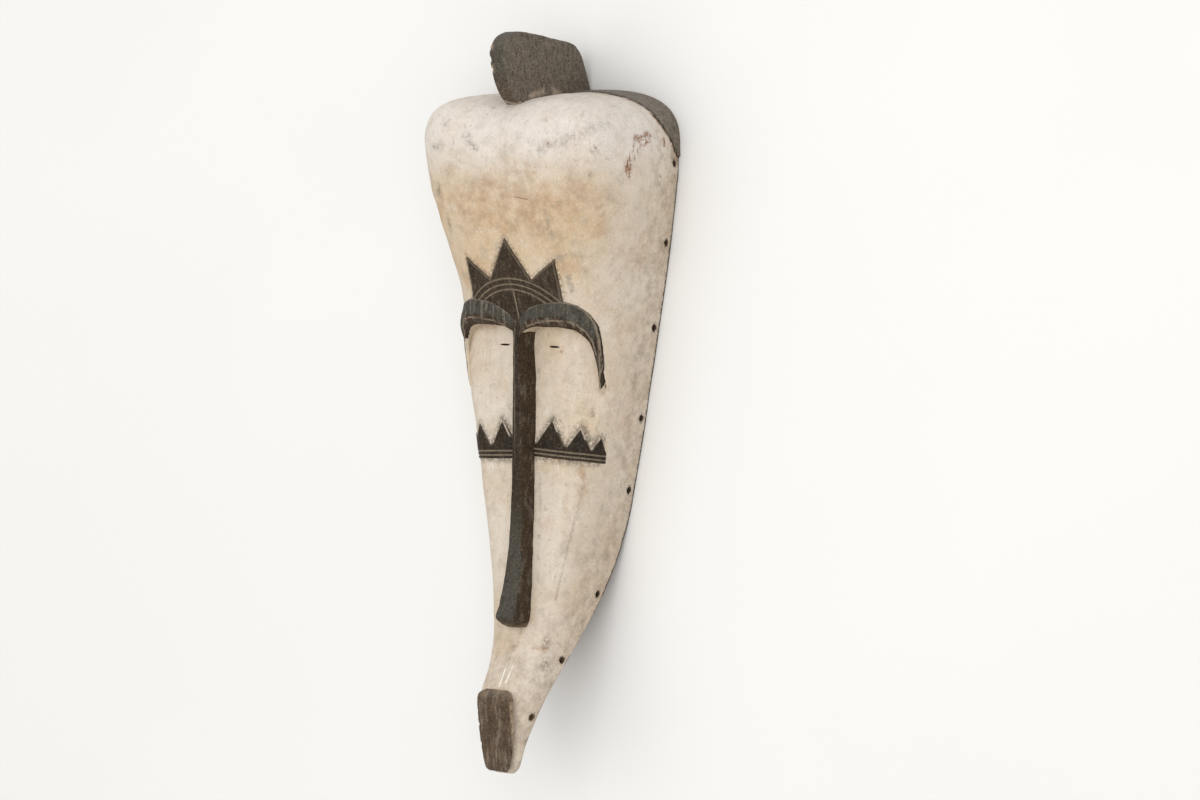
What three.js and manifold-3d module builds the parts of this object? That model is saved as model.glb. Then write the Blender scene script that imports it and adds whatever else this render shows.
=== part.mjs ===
// Tall whitened wooden mask of the Fang kind, carved from one block and hollow at the back.
// It lies on its flat back rim: +Z out of the face, +Y toward the crest, +X to the viewer's right.
// Lengths are millimetres. Heights along the mask (y) are counted from a level 48 mm below the eye
// slits; at the end the whole is centred.
import * as THREE from "three";
import Module from "manifold-3d";

const CHIN_Y = -348; // lower end of the chin
const CREST_TOP_Y = 338; // highest point of the crest
const CREST_THICK = 16.5;
const BAND_PROUD = 2; // the dark band round the top of the head stands this far off the dome
const BAND_DEPTH = 38; // how far that band reaches forward at the top
const BAND_LOW_Y = 226; // where it runs out on either side
const RELIEF = 1.4; // crown and cheek triangles stand this far off the face
const MOUTH_RELIEF = 7.5;
const BROW_RISE = 6; // edge of the brow in front of the forehead
const RIGHT_ROW_LIFT = 3; // the row on the right cheek sits higher than the left one
const LEFT_BROW_OUT = 3.5; // the bend of the left brow stands further out than that of the right one
const LEFT_TAIL_OUT = 2.8; // and so does the tip of its tail
const LEFT_BROW_NECK = 1.3; // less so in between
const CHEEK_FALL = { right: 6.5, left: 1.5 }; // how far a cheek falls away, 58 mm out from the middle line
const HOLE_R = 3.1; // holes along the rim
const HOLE_ABOVE_RIM = 8.5;
const HOLE_Y = [220, 146, 67, -18, -86, -183, -243, -294];
const SLIT_X = 28.6;
const SLIT_Y = 48;
const SLIT_LONG = 11.5;
const SLIT_HIGH = 1.9;
const WALL_SIDE = 12;
const WALL_FRONT = 17;
const SIDE_STEPS = 18; // facets from the rim to the middle of the face

// The block, station by station from the chin up: rim height along the mask, rim depth, half width at
// the rim, then height and depth of the middle line of the face, how square the section is, and how far
// it swells sideways.
const STATIONS = [
  [-348, 104.5, 10, -348, 107.5, 2.6, 0],
  [-344, 103, 14.5, -345, 110.5, 2.8, 0],
  [-321, 101, 21, -321, 113.5, 3, 0],
  [-298, 94.5, 27, -298, 116, 3, 0],
  [-276, 83, 31, -276, 119, 2.8, 0],
  [-262, 73.5, 33.5, -262, 111, 2.6, 0],
  [-250, 64.5, 35.5, -250, 102, 2.6, 0],
  [-226, 47.5, 40, -226, 92.5, 2.7, 0],
  [-207, 35.5, 44, -207, 88.5, 3, 0],
  [-189, 24.5, 47.5, -189, 86, 3.3, 0],
  [-142, 6, 56, -142, 83.5, 4, 0],
  [-100, 0, 64, -100, 83, 4.3, 0],
  [-67, 0, 70, -67, 83, 4.2, 0],
  [-30, 0, 76.5, -30, 84, 4.2, 0],
  [8, 0, 82, 8, 88, 4, 0],
  [35, 0, 86.5, 35, 92.5, 3.7, 0],
  [69, 0, 91.5, 69, 99, 3.2, 0],
  [102, 0, 96.5, 102, 108, 3, 0.5],
  [130, 0, 100.5, 130, 116.5, 3.2, 1.5],
  [150, 0, 103, 168, 127, 3.8, 3.5],
  [170, 0, 105, 206, 135, 4.6, 6],
  [188, 0, 107, 244, 137, 5.2, 7],
  [200, 0, 108, 267, 128, 5, 7],
  [209, 0, 109, 277.5, 111, 4.4, 5.5],
  [216, 0, 109, 282, 85, 3.8, 4],
  [221, 0, 109, 284, 55, 3.4, 2.5],
  [225, 0, 109, 285.5, 27, 3.2, 1],
  [228, 0, 108.5, 286, 0, 3.2, 0],
];

// How far the dome dips along its middle line, around the crest, against the station number.
const SADDLE = [[0, 0], [20, 0], [21, 2], [22, 7], [23, 8], [24, 6.5], [25, 3.5], [26, 2], [27, 0.6]];
const SADDLE_REACH = 28;
// How far the left side of the face swells out, against the height along the mask.
const LEFT_SWELL = [[-270, 0], [-226, 3.4], [-150, 2.6], [-60, 2.6], [-30, 3.6], [2, 5], [30, 2], [50, 0]];

const wasm = await Module();
wasm.setup();

const { smoothstep } = THREE.MathUtils;
const lerp = (a, b, t) => a + (b - a) * t;

// Smooth value through a table of [place, value] rows, without overshoot.
function smooth(rows) {
  const n = rows.length;
  const step = rows.slice(1).map((r, i) => (r[1] - rows[i][1]) / (r[0] - rows[i][0]));
  const slope = rows.map((r, i) => {
    if (i === 0) return step[0];
    if (i === n - 1) return step[n - 2];
    const [a, b] = [step[i - 1], step[i]];
    return a * b <= 0 ? 0 : (2 * a * b) / (a + b);
  });
  return (p) => {
    if (p <= rows[0][0]) return rows[0][1];
    if (p >= rows[n - 1][0]) return rows[n - 1][1];
    let i = 0;
    while (p > rows[i + 1][0]) i += 1;
    const h = rows[i + 1][0] - rows[i][0];
    const t = (p - rows[i][0]) / h;
    const [t2, t3] = [t * t, t * t * t];
    return (
      (2 * t3 - 3 * t2 + 1) * rows[i][1] +
      (t3 - 2 * t2 + t) * h * slope[i] +
      (3 * t2 - 2 * t3) * rows[i + 1][1] +
      (t3 - t2) * h * slope[i + 1]
    );
  };
}

// Solid from a closed list of triangles.
function solid(points, faces) {
  const build = (list) =>
    new wasm.Manifold(
      new wasm.Mesh({
        numProp: 3,
        vertProperties: new Float32Array(points.flat()),
        triVerts: new Uint32Array(list.flat()),
      }),
    );
  let volume = 0;
  for (const [i, j, k] of faces) {
    const [a, b, c] = [points[i], points[j], points[k]];
    volume +=
      a[0] * (b[1] * c[2] - b[2] * c[1]) +
      a[1] * (b[2] * c[0] - b[0] * c[2]) +
      a[2] * (b[0] * c[1] - b[1] * c[0]);
  }
  return build(volume > 0 ? faces : faces.map(([i, j, k]) => [i, k, j]));
}

// Solid through a row of closed loops with the same number of points.
function loft(loops) {
  const n = loops[0].length;
  const points = loops.flat();
  const faces = [];
  for (let s = 0; s + 1 < loops.length; s += 1) {
    for (let i = 0; i < n; i += 1) {
      const j = (i + 1) % n;
      const [a, b, c, d] = [s * n + i, s * n + j, (s + 1) * n + j, (s + 1) * n + i];
      faces.push([a, b, c], [a, c, d]);
    }
  }
  for (const [start, turn] of [[0, true], [(loops.length - 1) * n, false]]) {
    const middle = points.length;
    const loop = points.slice(start, start + n);
    points.push([0, 1, 2].map((k) => loop.reduce((sum, p) => sum + p[k], 0) / n));
    for (let i = 0; i < n; i += 1) {
      const [a, b] = [start + i, start + ((i + 1) % n)];
      faces.push(turn ? [middle, b, a] : [middle, a, b]);
    }
  }
  return solid(points, faces);
}

// Straight-sided solid on an outline of [x, y] points, between two depths.
function prism(outline, z0, z1) {
  const flat = outline.map(([x, y]) => new THREE.Vector2(x, y));
  if (THREE.ShapeUtils.isClockWise(flat)) flat.reverse();
  const n = flat.length;
  const points = [...flat.map((p) => [p.x, p.y, z0]), ...flat.map((p) => [p.x, p.y, z1])];
  const faces = [];
  for (const [a, b, c] of THREE.ShapeUtils.triangulateShape(flat, [])) {
    faces.push([c, b, a], [a + n, b + n, c + n]);
  }
  for (let i = 0; i < n; i += 1) {
    const j = (i + 1) % n;
    faces.push([i, j, j + n], [i, j + n, i + n]);
  }
  return solid(points, faces);
}

const mirrored = (points) => points.map(([x, y, ...rest]) => [-x, y, ...rest]);
const bothSides = (make) => make(1).add(make(-1));

// Smooth columns of the station table against the station number.
const column = (k) => smooth(STATIONS.map((row, i) => [i, row[k]]));
const [rimY, rimZ, halfWidth, faceY, faceZ, squareness, swell] = [0, 1, 2, 3, 4, 5, 6].map(column);
const LAST = STATIONS.length - 1;

const saddle = smooth(SADDLE);
const leftSwell = smooth(LEFT_SWELL);

// Half section from the rim (0) to the middle line (1), as points at even steps along its length.
function quarter(width, power, bulge) {
  const dense = [];
  for (let i = 0; i <= 400; i += 1) {
    const t = (i / 400) * (Math.PI / 2);
    const [across, out] = [Math.cos(t) ** (2 / power), Math.sin(t) ** (2 / power)];
    dense.push([(width + bulge * Math.sin(Math.PI * out)) * across, out]);
  }
  return dense;
}

function section(station, grow, side = WALL_SIDE, front = WALL_FRONT) {
  const hollow = grow === "hollow";
  const w = halfWidth(station) + (hollow ? -side : grow);
  const [ry, rz, fy, fz] = [rimY, rimZ, faceY, faceZ].map((f) => f(station));
  const reach = Math.hypot(fy - ry, fz - rz);
  const far = Math.max(reach + (hollow ? -front : grow), 0.5);
  const [dy, dz] = [(fy - ry) / reach, (fz - rz) / reach];
  const steps = hollow ? Math.round(SIDE_STEPS / 2) : SIDE_STEPS;
  const half = (bulge) => {
    const dense = quarter(w, hollow ? 2.7 : squareness(station), hollow ? 0 : bulge);
    const run = [0];
    for (let i = 1; i < dense.length; i += 1) {
      const [dx, dr] = [dense[i][0] - dense[i - 1][0], (dense[i][1] - dense[i - 1][1]) * far];
      run.push(run[i - 1] + Math.hypot(dx, dr));
    }
    const points = [];
    for (let i = 0, k = 0; i <= steps; i += 1) {
      const goal = (run.at(-1) * i) / steps;
      while (k < run.length - 2 && run[k + 1] < goal) k += 1;
      const t = Math.min(1, (goal - run[k]) / (run[k + 1] - run[k] || 1));
      const x = i === steps ? 0 : lerp(dense[k][0], dense[k + 1][0], t);
      const dip = hollow ? 0 : saddle(station) * Math.exp(-((x / SADDLE_REACH) ** 2));
      const r = Math.max(far * lerp(dense[k][1], dense[k + 1][1], t) - dip, 0);
      points.push([x, ry + dy * r, rz + dz * r]);
    }
    return points;
  };
  const left = half(swell(station) + leftSwell(ry));
  return [...half(swell(station)), ...mirrored(left.slice(0, -1)).reverse()];
}

// Depth of the uncut face at a place below the dome.
function faceDepth(x, y) {
  let [a, b] = [0, 18];
  for (let i = 0; i < 40; i += 1) {
    const mid = (a + b) / 2;
    if (rimY(mid) < y) a = mid;
    else b = mid;
  }
  const share = Math.max(0, 1 - (Math.abs(x) / halfWidth(a)) ** squareness(a));
  return rimZ(a) + (faceZ(a) - rimZ(a)) * share ** (1 / squareness(a));
}

// Outer block, every station of it, with the skin moved out by "grow".
function block(grow) {
  const loops = [];
  for (let s = 0; s <= LAST; s += 0.5) loops.push(section(s, grow));
  return loft(loops);
}

// Lower edge of the brow against the distance from the middle, then down its tail.
const browUnder = smooth([
  [0, 66], [20, 67.6], [40, 67.4], [55, 66], [63, 62], [69, 55], [72.5, 45], [73.6, 30], [74.4, 12],
  [76, 2], [92, -14],
]);
const cheekDepth = (x) => 79.5 - (x < 0 ? CHEEK_FALL.left : CHEEK_FALL.right) * (Math.abs(x) / 58) ** 4;

// Everything in front of the cheeks, below the brows: taking it away leaves the two flat cheeks.
function cheekCut(grow) {
  const half = [0, 10, 20, 30, 40, 48, 55, 60, 64, 67, 69.5, 71.5, 72.7, 73.4, 74, 75, 78, 84, 92];
  const xs = [...half.slice(1).map((x) => -x).reverse(), ...half];
  const rows = 9;
  const loops = xs.map((x) => {
    const top = browUnder(Math.abs(x));
    const low = -175;
    const loop = [];
    for (let j = 0; j <= rows; j += 1) {
      const y = lerp(low, top, j / rows);
      const lift = 5 * smoothstep(-y, 90, 175);
      loop.push([x, y, cheekDepth(x) + lift + grow]);
    }
    loop.push([x, top, 190], [x, low, 190]);
    return loop;
  });
  return loft(loops);
}

const carved = (grow) => block(grow).subtract(cheekCut(grow));

// How far the left brow stands out, against the place along it.
const leftBrowOut = (s) =>
  LEFT_BROW_OUT * smoothstep(s, 5, 6.5) +
  (LEFT_BROW_NECK - LEFT_BROW_OUT) * smoothstep(s, 7.4, 8.8) +
  (LEFT_TAIL_OUT - LEFT_BROW_NECK) * smoothstep(s, 9.5, 12.5);

// One brow: a ridge whose edge stands in front of the forehead, with a long upper face and a short
// under face.
function brow(side) {
  const stations = [
    // x and y of the upper line, the edge and the lower line, then the rise of the edge
    [2, 74, 1.5, 60, -1, 52, 1],
    [9, 79.6, 8, 68, 4, 60, 3.4],
    [20, 86, 19, 73.5, 18, 66, 5],
    [31, 89.4, 31, 74, 31, 66.5, BROW_RISE],
    [41, 90.7, 42, 73.5, 42, 66.5, BROW_RISE],
    [52, 91, 51.5, 72.5, 51, 66, BROW_RISE],
    [62.5, 87.8, 60.4, 70.2, 58.5, 64.2, BROW_RISE],
    [70.8, 81.4, 67.8, 65.2, 65, 60, BROW_RISE - 0.6],
    [75.8, 69.8, 73, 57.5, 70, 53, 4.8],
    [77.6, 56, 75.4, 47, 72.4, 44, 4.3],
    [78.1, 42, 76, 34, 73.6, 32, 3.8],
    [77, 28.5, 75.6, 23, 73.8, 21, 3],
    [75.6, 18, 74.8, 14, 73.6, 12, 2],
    [74.8, 8, 74.2, 7, 73.6, 6.5, 1],
  ];
  const curves = [0, 1, 2, 3, 4, 5, 6].map((k) => smooth(stations.map((row, i) => [i, row[k]])));
  const loops = [];
  for (let s = 0; s <= stations.length - 1; s += 0.5) {
    const [uxMid, uy, exMid, ey, lx, ly, rise] = curves.map((c) => c(s));
    const out = side < 0 ? leftBrowOut(s) : 0;
    const [ux, ex] = [uxMid + 1.4 * out, exMid + out];
    const upper = faceDepth(ux, uy);
    const edge = faceDepth(exMid, ey) + rise + 0.7 * out;
    const low = Math.min(faceDepth(lx, ly) + rise * 0.2, edge - 0.5);
    const deep = cheekDepth(side * lx) - 6;
    loops.push([
      [side * ux, uy, upper - 7],
      [side * ux, uy, upper + 1.4],
      [side * lerp(ux, ex, 0.6), lerp(uy, ey, 0.6), lerp(upper, edge, 0.75) + 0.7],
      [side * ex, ey, edge],
      [side * lx, ly, low],
      [side * lx, ly, Math.min(deep, upper - 8)],
    ]);
  }
  return loft(loops);
}

// The nose: a long bar that widens toward its blunt end.
function nose() {
  const stations = [
    // y, half width of the front, of its bevel and at the foot, depth of the front, depth of the bevel
    [78, 3, 4, 9.5, 100.5, 1.6], [66, 4.4, 5.2, 9, 101, 1.6], [58, 3, 4.2, 6, 101.8, 1.8],
    [48, 2.2, 3.4, 5.6, 102, 2], [20, 2.5, 4.2, 8.6, 101, 2.2], [0, 2.6, 4.8, 9, 100.2, 2.4],
    [-50, 3.6, 5.4, 9.1, 97.8, 2], [-80, 5, 6, 9.3, 96.4, 1.4], [-104, 5.8, 6.6, 9.8, 96, 1.2],
    [-132, 6.8, 7.6, 10.6, 96.4, 1.2], [-164, 8.7, 9.4, 11.6, 99.6, 1.2], [-178, 9.1, 9.9, 12, 102.8, 1.2],
    [-192, 9.6, 10.6, 12.6, 106.8, 1.3], [-203, 10.8, 11.8, 12.8, 110.4, 1.6],
    [-209, 9.5, 10.8, 12, 105, 2.4], [-213, 7.5, 9, 10.4, 97, 2.4],
  ];
  const curves = [0, 1, 2, 3, 4, 5].map((k) => smooth(stations.map((row, i) => [i, row[k]])));
  const loops = [];
  for (let s = 0; s <= stations.length - 1; s += 0.5) {
    const [y, front, bevel, foot, z, drop] = curves.map((c) => c(s));
    const floor = Math.min(cheekDepth(0) + 1, z - 4);
    const half = [[foot, y, 70], [foot, y, floor], [bevel, y, z - drop], [front, y, z]];
    loops.push([...half, ...mirrored(half).reverse()]);
  }
  return loft(loops);
}

// Crest: an upright plate along the middle line, from the brow of the dome to the back.
function crest() {
  const side = [
    // y and z round the plate, from the foot at the front over the top to the back
    [240, 80], [262, 99], [271, 112.5], [277, 121], [286, 128.5], [298, 134.5], [310, 138.5],
    [317, 139.5], [324, 138], [330, 133.5], [334.5, 127], [337.3, 118], [338, 107], [336.5, 90],
    [333.5, 62], [331, 38], [328.5, 27], [323, 19.5], [314, 13.5], [302, 7.5], [290, 2.5], [280, 0],
    [262, 0], [240, 40],
  ];
  const middle = [294, 72];
  const t = CREST_THICK / 2;
  const loops = [[t, 0.965], [t - 1.6, 1], [-(t - 1.6), 1], [-t, 0.965]].map(([x, k]) =>
    side.map(([y, z]) => [x, lerp(middle[0], y, k), Math.max(0, lerp(middle[1], z, k))]),
  );
  return loft(loops);
}

// Dark band round the back of the dome: the dome's own skin moved out, kept behind a slanting line.
function band() {
  const wedge = [
    [-140, BAND_LOW_Y, 0], [140, BAND_LOW_Y, 0], [140, 320, 0], [-140, 320, 0],
    [-140, BAND_LOW_Y, 1.5], [140, BAND_LOW_Y, 1.5],
    [140, 258, BAND_DEPTH * 0.78], [-140, 258, BAND_DEPTH * 0.78],
    [140, 320, BAND_DEPTH + 6], [-140, 320, BAND_DEPTH + 6],
  ];
  const faces = [
    [0, 2, 1], [0, 3, 2], [4, 5, 6], [4, 6, 7], [7, 6, 8], [7, 8, 9], [0, 1, 5], [0, 5, 4],
    [3, 9, 8], [3, 8, 2], [1, 2, 8], [1, 8, 6], [1, 6, 5], [0, 4, 7], [0, 7, 9], [0, 9, 3],
  ];
  return block(BAND_PROUD).intersect(solid(wedge, faces));
}

// Crown of three points over the brows.
const CROWN = [
  [52.5, 84], [51, 130], [23.5, 110.4], [0, 148.2], [-23.5, 110.4], [-51, 130], [-52.5, 84], [0, 66],
];

// Row of three points on each cheek, on a plain strip.
const CHEEK_ROW = [
  [4, -57], [4, -46], [11, -45], [29.4, -21.4], [41, -45.5], [44, -46], [57.8, -27], [65, -48], [67, -50],
  [70.2, -37.5], [78, -51], [78, -62.5], [60, -60],
];

// Mouth: a raised panel on the chin.
const MOUTH = [
  [10.5, -346], [14.5, -341], [19.6, -312], [20.6, -296], [20.6, -281], [18.4, -273], [12, -269.5],
];

function holes() {
  const drills = HOLE_Y.map((y) =>
    bothSides((side) => {
      let [a, b] = [0, LAST];
      for (let i = 0; i < 40; i += 1) {
        const mid = (a + b) / 2;
        if (rimY(mid) < y) a = mid;
        else b = mid;
      }
      const [w, z] = [halfWidth(a), rimZ(a) + HOLE_ABOVE_RIM];
      const reach = Math.min(26, w - 12);
      const ring = (x) =>
        Array.from({ length: 12 }, (_, i) => {
          const angle = ((i + 0.5) * Math.PI) / 6;
          return [side * x, y + HOLE_R * Math.cos(angle), z + HOLE_R * Math.sin(angle)];
        });
      return loft([ring(w - reach), ring(w + 8)]);
    }),
  );
  return drills.reduce((all, d) => all.add(d));
}

function slit(side) {
  const [x, y, l, h] = [side * SLIT_X, SLIT_Y, SLIT_LONG / 2, SLIT_HIGH / 2];
  return prism([[x - l, y], [x - l * 0.5, y + h], [x + l * 0.5, y + h], [x + l, y], [x + l * 0.5, y - h],
    [x - l * 0.5, y - h]], 20, 130);
}

// Hollow at the back, open toward the wearer, with a straight run through the rim plane.
function hollow() {
  const loops = [];
  for (let s = 3; s <= LAST; s += 1) {
    const chin = smoothstep(s, 3, 9);
    const front = s < 18 ? lerp(12, 25, chin) : WALL_FRONT;
    const loop = section(s, "hollow", lerp(10, WALL_SIDE, chin), front);
    const [first, last] = [loop[0], loop.at(-1)];
    const depth = first[2] - 6;
    loop.push([last[0], last[1], depth], [first[0], first[1], depth]);
    if (s === 3) loops.push(loop.map(([x, y, z]) => [x * 0.6, y - 5, z - 3]));
    loops.push(loop);
  }
  const top = loops.at(-1);
  loops.push(top.map(([x, y], i) => [x, i < top.length - 2 ? y : y - 1, -6]));
  return loft(loops);
}

function mask() {
  const face = carved(RELIEF);
  const crown = block(RELIEF).intersect(prism(CROWN, 40, 180));
  const rightRow = CHEEK_ROW.map(([x, y]) => [x, y + RIGHT_ROW_LIFT]);
  const rows = bothSides((side) => prism(side > 0 ? rightRow : mirrored(CHEEK_ROW), 46, 140))
    .intersect(face);
  const mouth = block(MOUTH_RELIEF).intersect(prism([...MOUTH, ...mirrored(MOUTH).reverse()], 103, 160));
  return carved(0)
    .add(crown)
    .add(rows)
    .add(mouth)
    .add(bothSides(brow))
    .add(nose())
    .add(crest())
    .add(band())
    .subtract(hollow())
    .subtract(bothSides(slit))
    .subtract(holes());
}

function toMesh(shape, name, colour) {
  const data = shape.getMesh();
  const middle = (CHIN_Y + CREST_TOP_Y) / 2;
  const positions = new Float32Array(data.triVerts.length * 3);
  data.triVerts.forEach((v, i) => {
    positions[i * 3] = data.vertProperties[v * data.numProp];
    positions[i * 3 + 1] = data.vertProperties[v * data.numProp + 1] - middle;
    positions[i * 3 + 2] = data.vertProperties[v * data.numProp + 2];
  });
  const geometry = new THREE.BufferGeometry();
  geometry.setAttribute("position", new THREE.BufferAttribute(positions, 3));
  geometry.computeVertexNormals();
  const wood = new THREE.MeshStandardMaterial({ color: colour, roughness: 0.85 });
  const mesh = new THREE.Mesh(geometry, wood);
  mesh.name = name;
  return mesh;
}

const group = new THREE.Group();
group.name = "fang_mask";
group.add(toMesh(mask(), "mask", 0xd8cdb8));

export default group;
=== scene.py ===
"""Looks of a tall whitened wooden mask, hollow at the back, with a crest, dark brows and cut bands.

Lengths in the tables are millimetres, x to the right, y up along the mask and z out of the face.
"""

import math
import random

import bpy
import numpy as np
from mathutils import Matrix, Vector, noise
from mathutils.bvhtree import BVHTree


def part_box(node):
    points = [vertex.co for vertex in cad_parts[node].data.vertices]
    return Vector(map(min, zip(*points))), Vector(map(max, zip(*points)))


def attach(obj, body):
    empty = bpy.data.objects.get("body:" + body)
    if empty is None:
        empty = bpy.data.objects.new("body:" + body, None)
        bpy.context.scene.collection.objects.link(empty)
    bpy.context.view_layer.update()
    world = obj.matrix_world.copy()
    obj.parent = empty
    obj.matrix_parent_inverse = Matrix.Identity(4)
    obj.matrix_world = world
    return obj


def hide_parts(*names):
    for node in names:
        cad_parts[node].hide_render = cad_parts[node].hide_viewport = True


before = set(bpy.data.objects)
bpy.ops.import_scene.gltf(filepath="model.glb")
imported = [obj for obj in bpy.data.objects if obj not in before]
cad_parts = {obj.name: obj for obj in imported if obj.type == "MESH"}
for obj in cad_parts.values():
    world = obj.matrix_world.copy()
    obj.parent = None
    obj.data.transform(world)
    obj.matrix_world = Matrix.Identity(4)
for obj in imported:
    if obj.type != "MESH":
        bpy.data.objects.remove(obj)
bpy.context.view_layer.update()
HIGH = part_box("mask")[1]

bl_info = {
    "name": "Fang mask",
    "version": (1, 0, 0),
    "blender": (4, 5, 0),
    "location": "3D View > Sidebar > Mask",
    "description": "Carved and painted pieces of a long whitened mask, with its plain stage",
    "category": "Mesh",
}

MM = 0.001
CREST_TOP = 338  # height of the top of the crest in the tables
MIDDLE = HIGH.y / MM - CREST_TOP

# The block from the chin up: rim height along the mask, rim depth, half width at the rim, height
# and depth of the middle line of the face, how square the section is, how far it swells sideways.
STATIONS = [
    (-348, 104.5, 10, -348, 107.5, 2.6, 0), (-344, 103, 14.5, -345, 110.5, 2.8, 0),
    (-321, 101, 21, -321, 113.5, 3, 0), (-298, 94.5, 27, -298, 116, 3, 0),
    (-276, 83, 31, -276, 119, 2.8, 0), (-262, 73.5, 33.5, -262, 111, 2.6, 0),
    (-250, 64.5, 35.5, -250, 102, 2.6, 0), (-226, 47.5, 40, -226, 92.5, 2.7, 0),
    (-207, 35.5, 44, -207, 88.5, 3, 0), (-189, 24.5, 47.5, -189, 86, 3.3, 0),
    (-142, 6, 56, -142, 83.5, 4, 0), (-100, 0, 64, -100, 83, 4.3, 0), (-67, 0, 70, -67, 83, 4.2, 0),
    (-30, 0, 76.5, -30, 84, 4.2, 0), (8, 0, 82, 8, 88, 4, 0), (35, 0, 86.5, 35, 92.5, 3.7, 0),
    (69, 0, 91.5, 69, 99, 3.2, 0), (102, 0, 96.5, 102, 108, 3, 0.5),
    (130, 0, 100.5, 130, 116.5, 3.2, 1.5), (150, 0, 103, 168, 127, 3.8, 3.5),
    (170, 0, 105, 206, 135, 4.6, 6), (188, 0, 107, 244, 137, 5.2, 7), (200, 0, 108, 267, 128, 5, 7),
    (209, 0, 109, 277.5, 111, 4.4, 5.5), (216, 0, 109, 282, 85, 3.8, 4),
    (221, 0, 109, 284, 55, 3.4, 2.5), (225, 0, 109, 285.5, 27, 3.2, 1),
    (228, 0, 108.5, 286, 0, 3.2, 0),
]
# The dark band round the back of the dome: how far it stands out, and y and z of its front edge.
BAND_PROUD = 2.0
BAND_EDGE = [(216, -8), (226, 1.5), (258, 29.6), (282, 37), (320, 44)]
# How far the dome dips along its middle line, around the crest, against the station number.
SADDLE = [(0, 0), (20, 0), (21, 2), (22, 7), (23, 8), (24, 6.5), (25, 3.5), (26, 2), (27, 0.6)]
SADDLE_REACH = 28
# How far the left side of the face swells out, against the height along the mask.
LEFT_SWELL = [(-270, 0), (-226, 3.4), (-150, 2.6), (-60, 2.6), (-30, 3.6), (2, 5), (30, 2), (50, 0)]
# The cheeks: depth beside the nose, how far the right one and the left one fall away, how far out
# from the middle line that is, and how much both rise toward the neck.
CHEEK_DEPTH, CHEEK_FALL_RIGHT, CHEEK_FALL_LEFT, CHEEK_FALL_AT = 79.5, 6.5, 1.5, 58
NECK_RISE = 5
# The hollow: width of the rim and thickness of the wall at the chin, with what is added above it
# and taken off the wall again in the dome, and how square its section is.
RIM_AT_CHIN, RIM_WIDER_ABOVE = 10, 2
WALL_AT_CHIN, WALL_THICKER_ABOVE, WALL_THINNER_IN_DOME = 12, 13, 8
HOLLOW_SQUARE = 2.7
# Unevenness of the skin: size of the lumps, seed and height; then the scoops of the gouge.
SKIN_LUMPS = ((46, 1, 0.75), (15, 2, 0.22))
SKIN_SCOOPS, SKIN_SCOOP_DEPTH = (17, 30, 17), 0.28
HOLLOW_SCOOPS, HOLLOW_SCOOP_DEPTH = (16, 34, 16), 0.9
LAST = len(STATIONS) - 1
STATION_Y = [row[0] for row in STATIONS]
DOME_STATION = 18  # the dome begins here
ROWS = 290  # rows of the face along the mask
HALF_FRONT = 100  # steps from the rim to the middle of the face
HALF_BACK = 40  # steps from the rim to the middle of the hollow
RIM_STEPS = 4

# Lower edge of the brow against the distance from the middle, then down its tail.
BROW_UNDER = [
    (0, 66), (20, 67.6), (40, 67.4), (55, 66), (63, 62), (69, 55), (72.5, 45), (73.6, 30),
    (74.4, 12), (76, 2), (92, -14),
]
# One brow: upper line x, y; edge x, y; lower line x, y; how far the edge stands off the forehead.
BROW = [
    (2, 74, 1.5, 60, -1, 52, 1), (9, 79.6, 8, 68, 4, 60, 3.4), (20, 86, 19, 73.5, 18, 66, 5),
    (31, 89.4, 31, 74, 31, 66.5, 6), (41, 90.7, 42, 73.5, 42, 66.5, 6),
    (52, 91, 51.5, 72.5, 51, 66, 6), (62.5, 87.8, 60.4, 70.2, 58.5, 64.2, 6),
    (70.8, 81.4, 67.8, 65.2, 65, 60, 5.4), (75.8, 69.8, 73, 57.5, 70, 53, 4.8),
    (77.6, 56, 75.4, 47, 72.4, 44, 4.3), (78.1, 42, 76, 34, 73.6, 32, 3.8),
    (77, 28.5, 75.6, 23, 73.8, 21, 3), (75.6, 18, 74.8, 14, 73.6, 12, 2),
    (74.8, 8, 74.2, 7, 73.6, 6.5, 1),
]
# How much further the left brow stands out: at its bend, below it, and at the tip of its tail.
LEFT_BROW_OUT, LEFT_BROW_NECK, LEFT_TAIL_OUT = 3.5, 1.3, 2.8
# The cut line along a brow, above its edge.
BROW_CREASE = [
    (13, 66.5), (15.9, 68.2), (28.8, 71.5), (42.2, 72.9), (54.5, 73.3), (63.3, 70.8), (70.1, 63.6),
    (73.6, 54.4), (75, 42.3),
]
# The nose: y, half width of the front, of its bevel and at the foot, depth of the front and bevel.
NOSE = [
    (78, 3, 4, 9.5, 100.5, 1.6), (66, 4.4, 5.2, 9, 101, 1.6), (58, 3, 4.2, 6, 101.8, 1.8),
    (48, 2.2, 3.4, 5.6, 102, 2), (20, 2.5, 4.2, 8.6, 101, 2.2), (0, 2.6, 4.8, 9, 100.2, 2.4),
    (-50, 3.6, 5.4, 9.1, 97.8, 2), (-80, 5, 6, 9.3, 96.4, 1.4), (-104, 5.8, 6.6, 9.8, 96, 1.2),
    (-132, 6.8, 7.6, 10.6, 96.4, 1.2), (-164, 8.7, 9.4, 11.6, 99.6, 1.2),
    (-178, 9.1, 9.9, 12, 102.8, 1.2), (-192, 9.6, 10.6, 12.6, 106.8, 1.3),
    (-203, 10.8, 11.8, 12.8, 110.4, 1.6), (-209, 9.5, 10.8, 12, 105, 2.4),
    (-213, 7.5, 9, 10.4, 97, 2.4),
]
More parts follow.
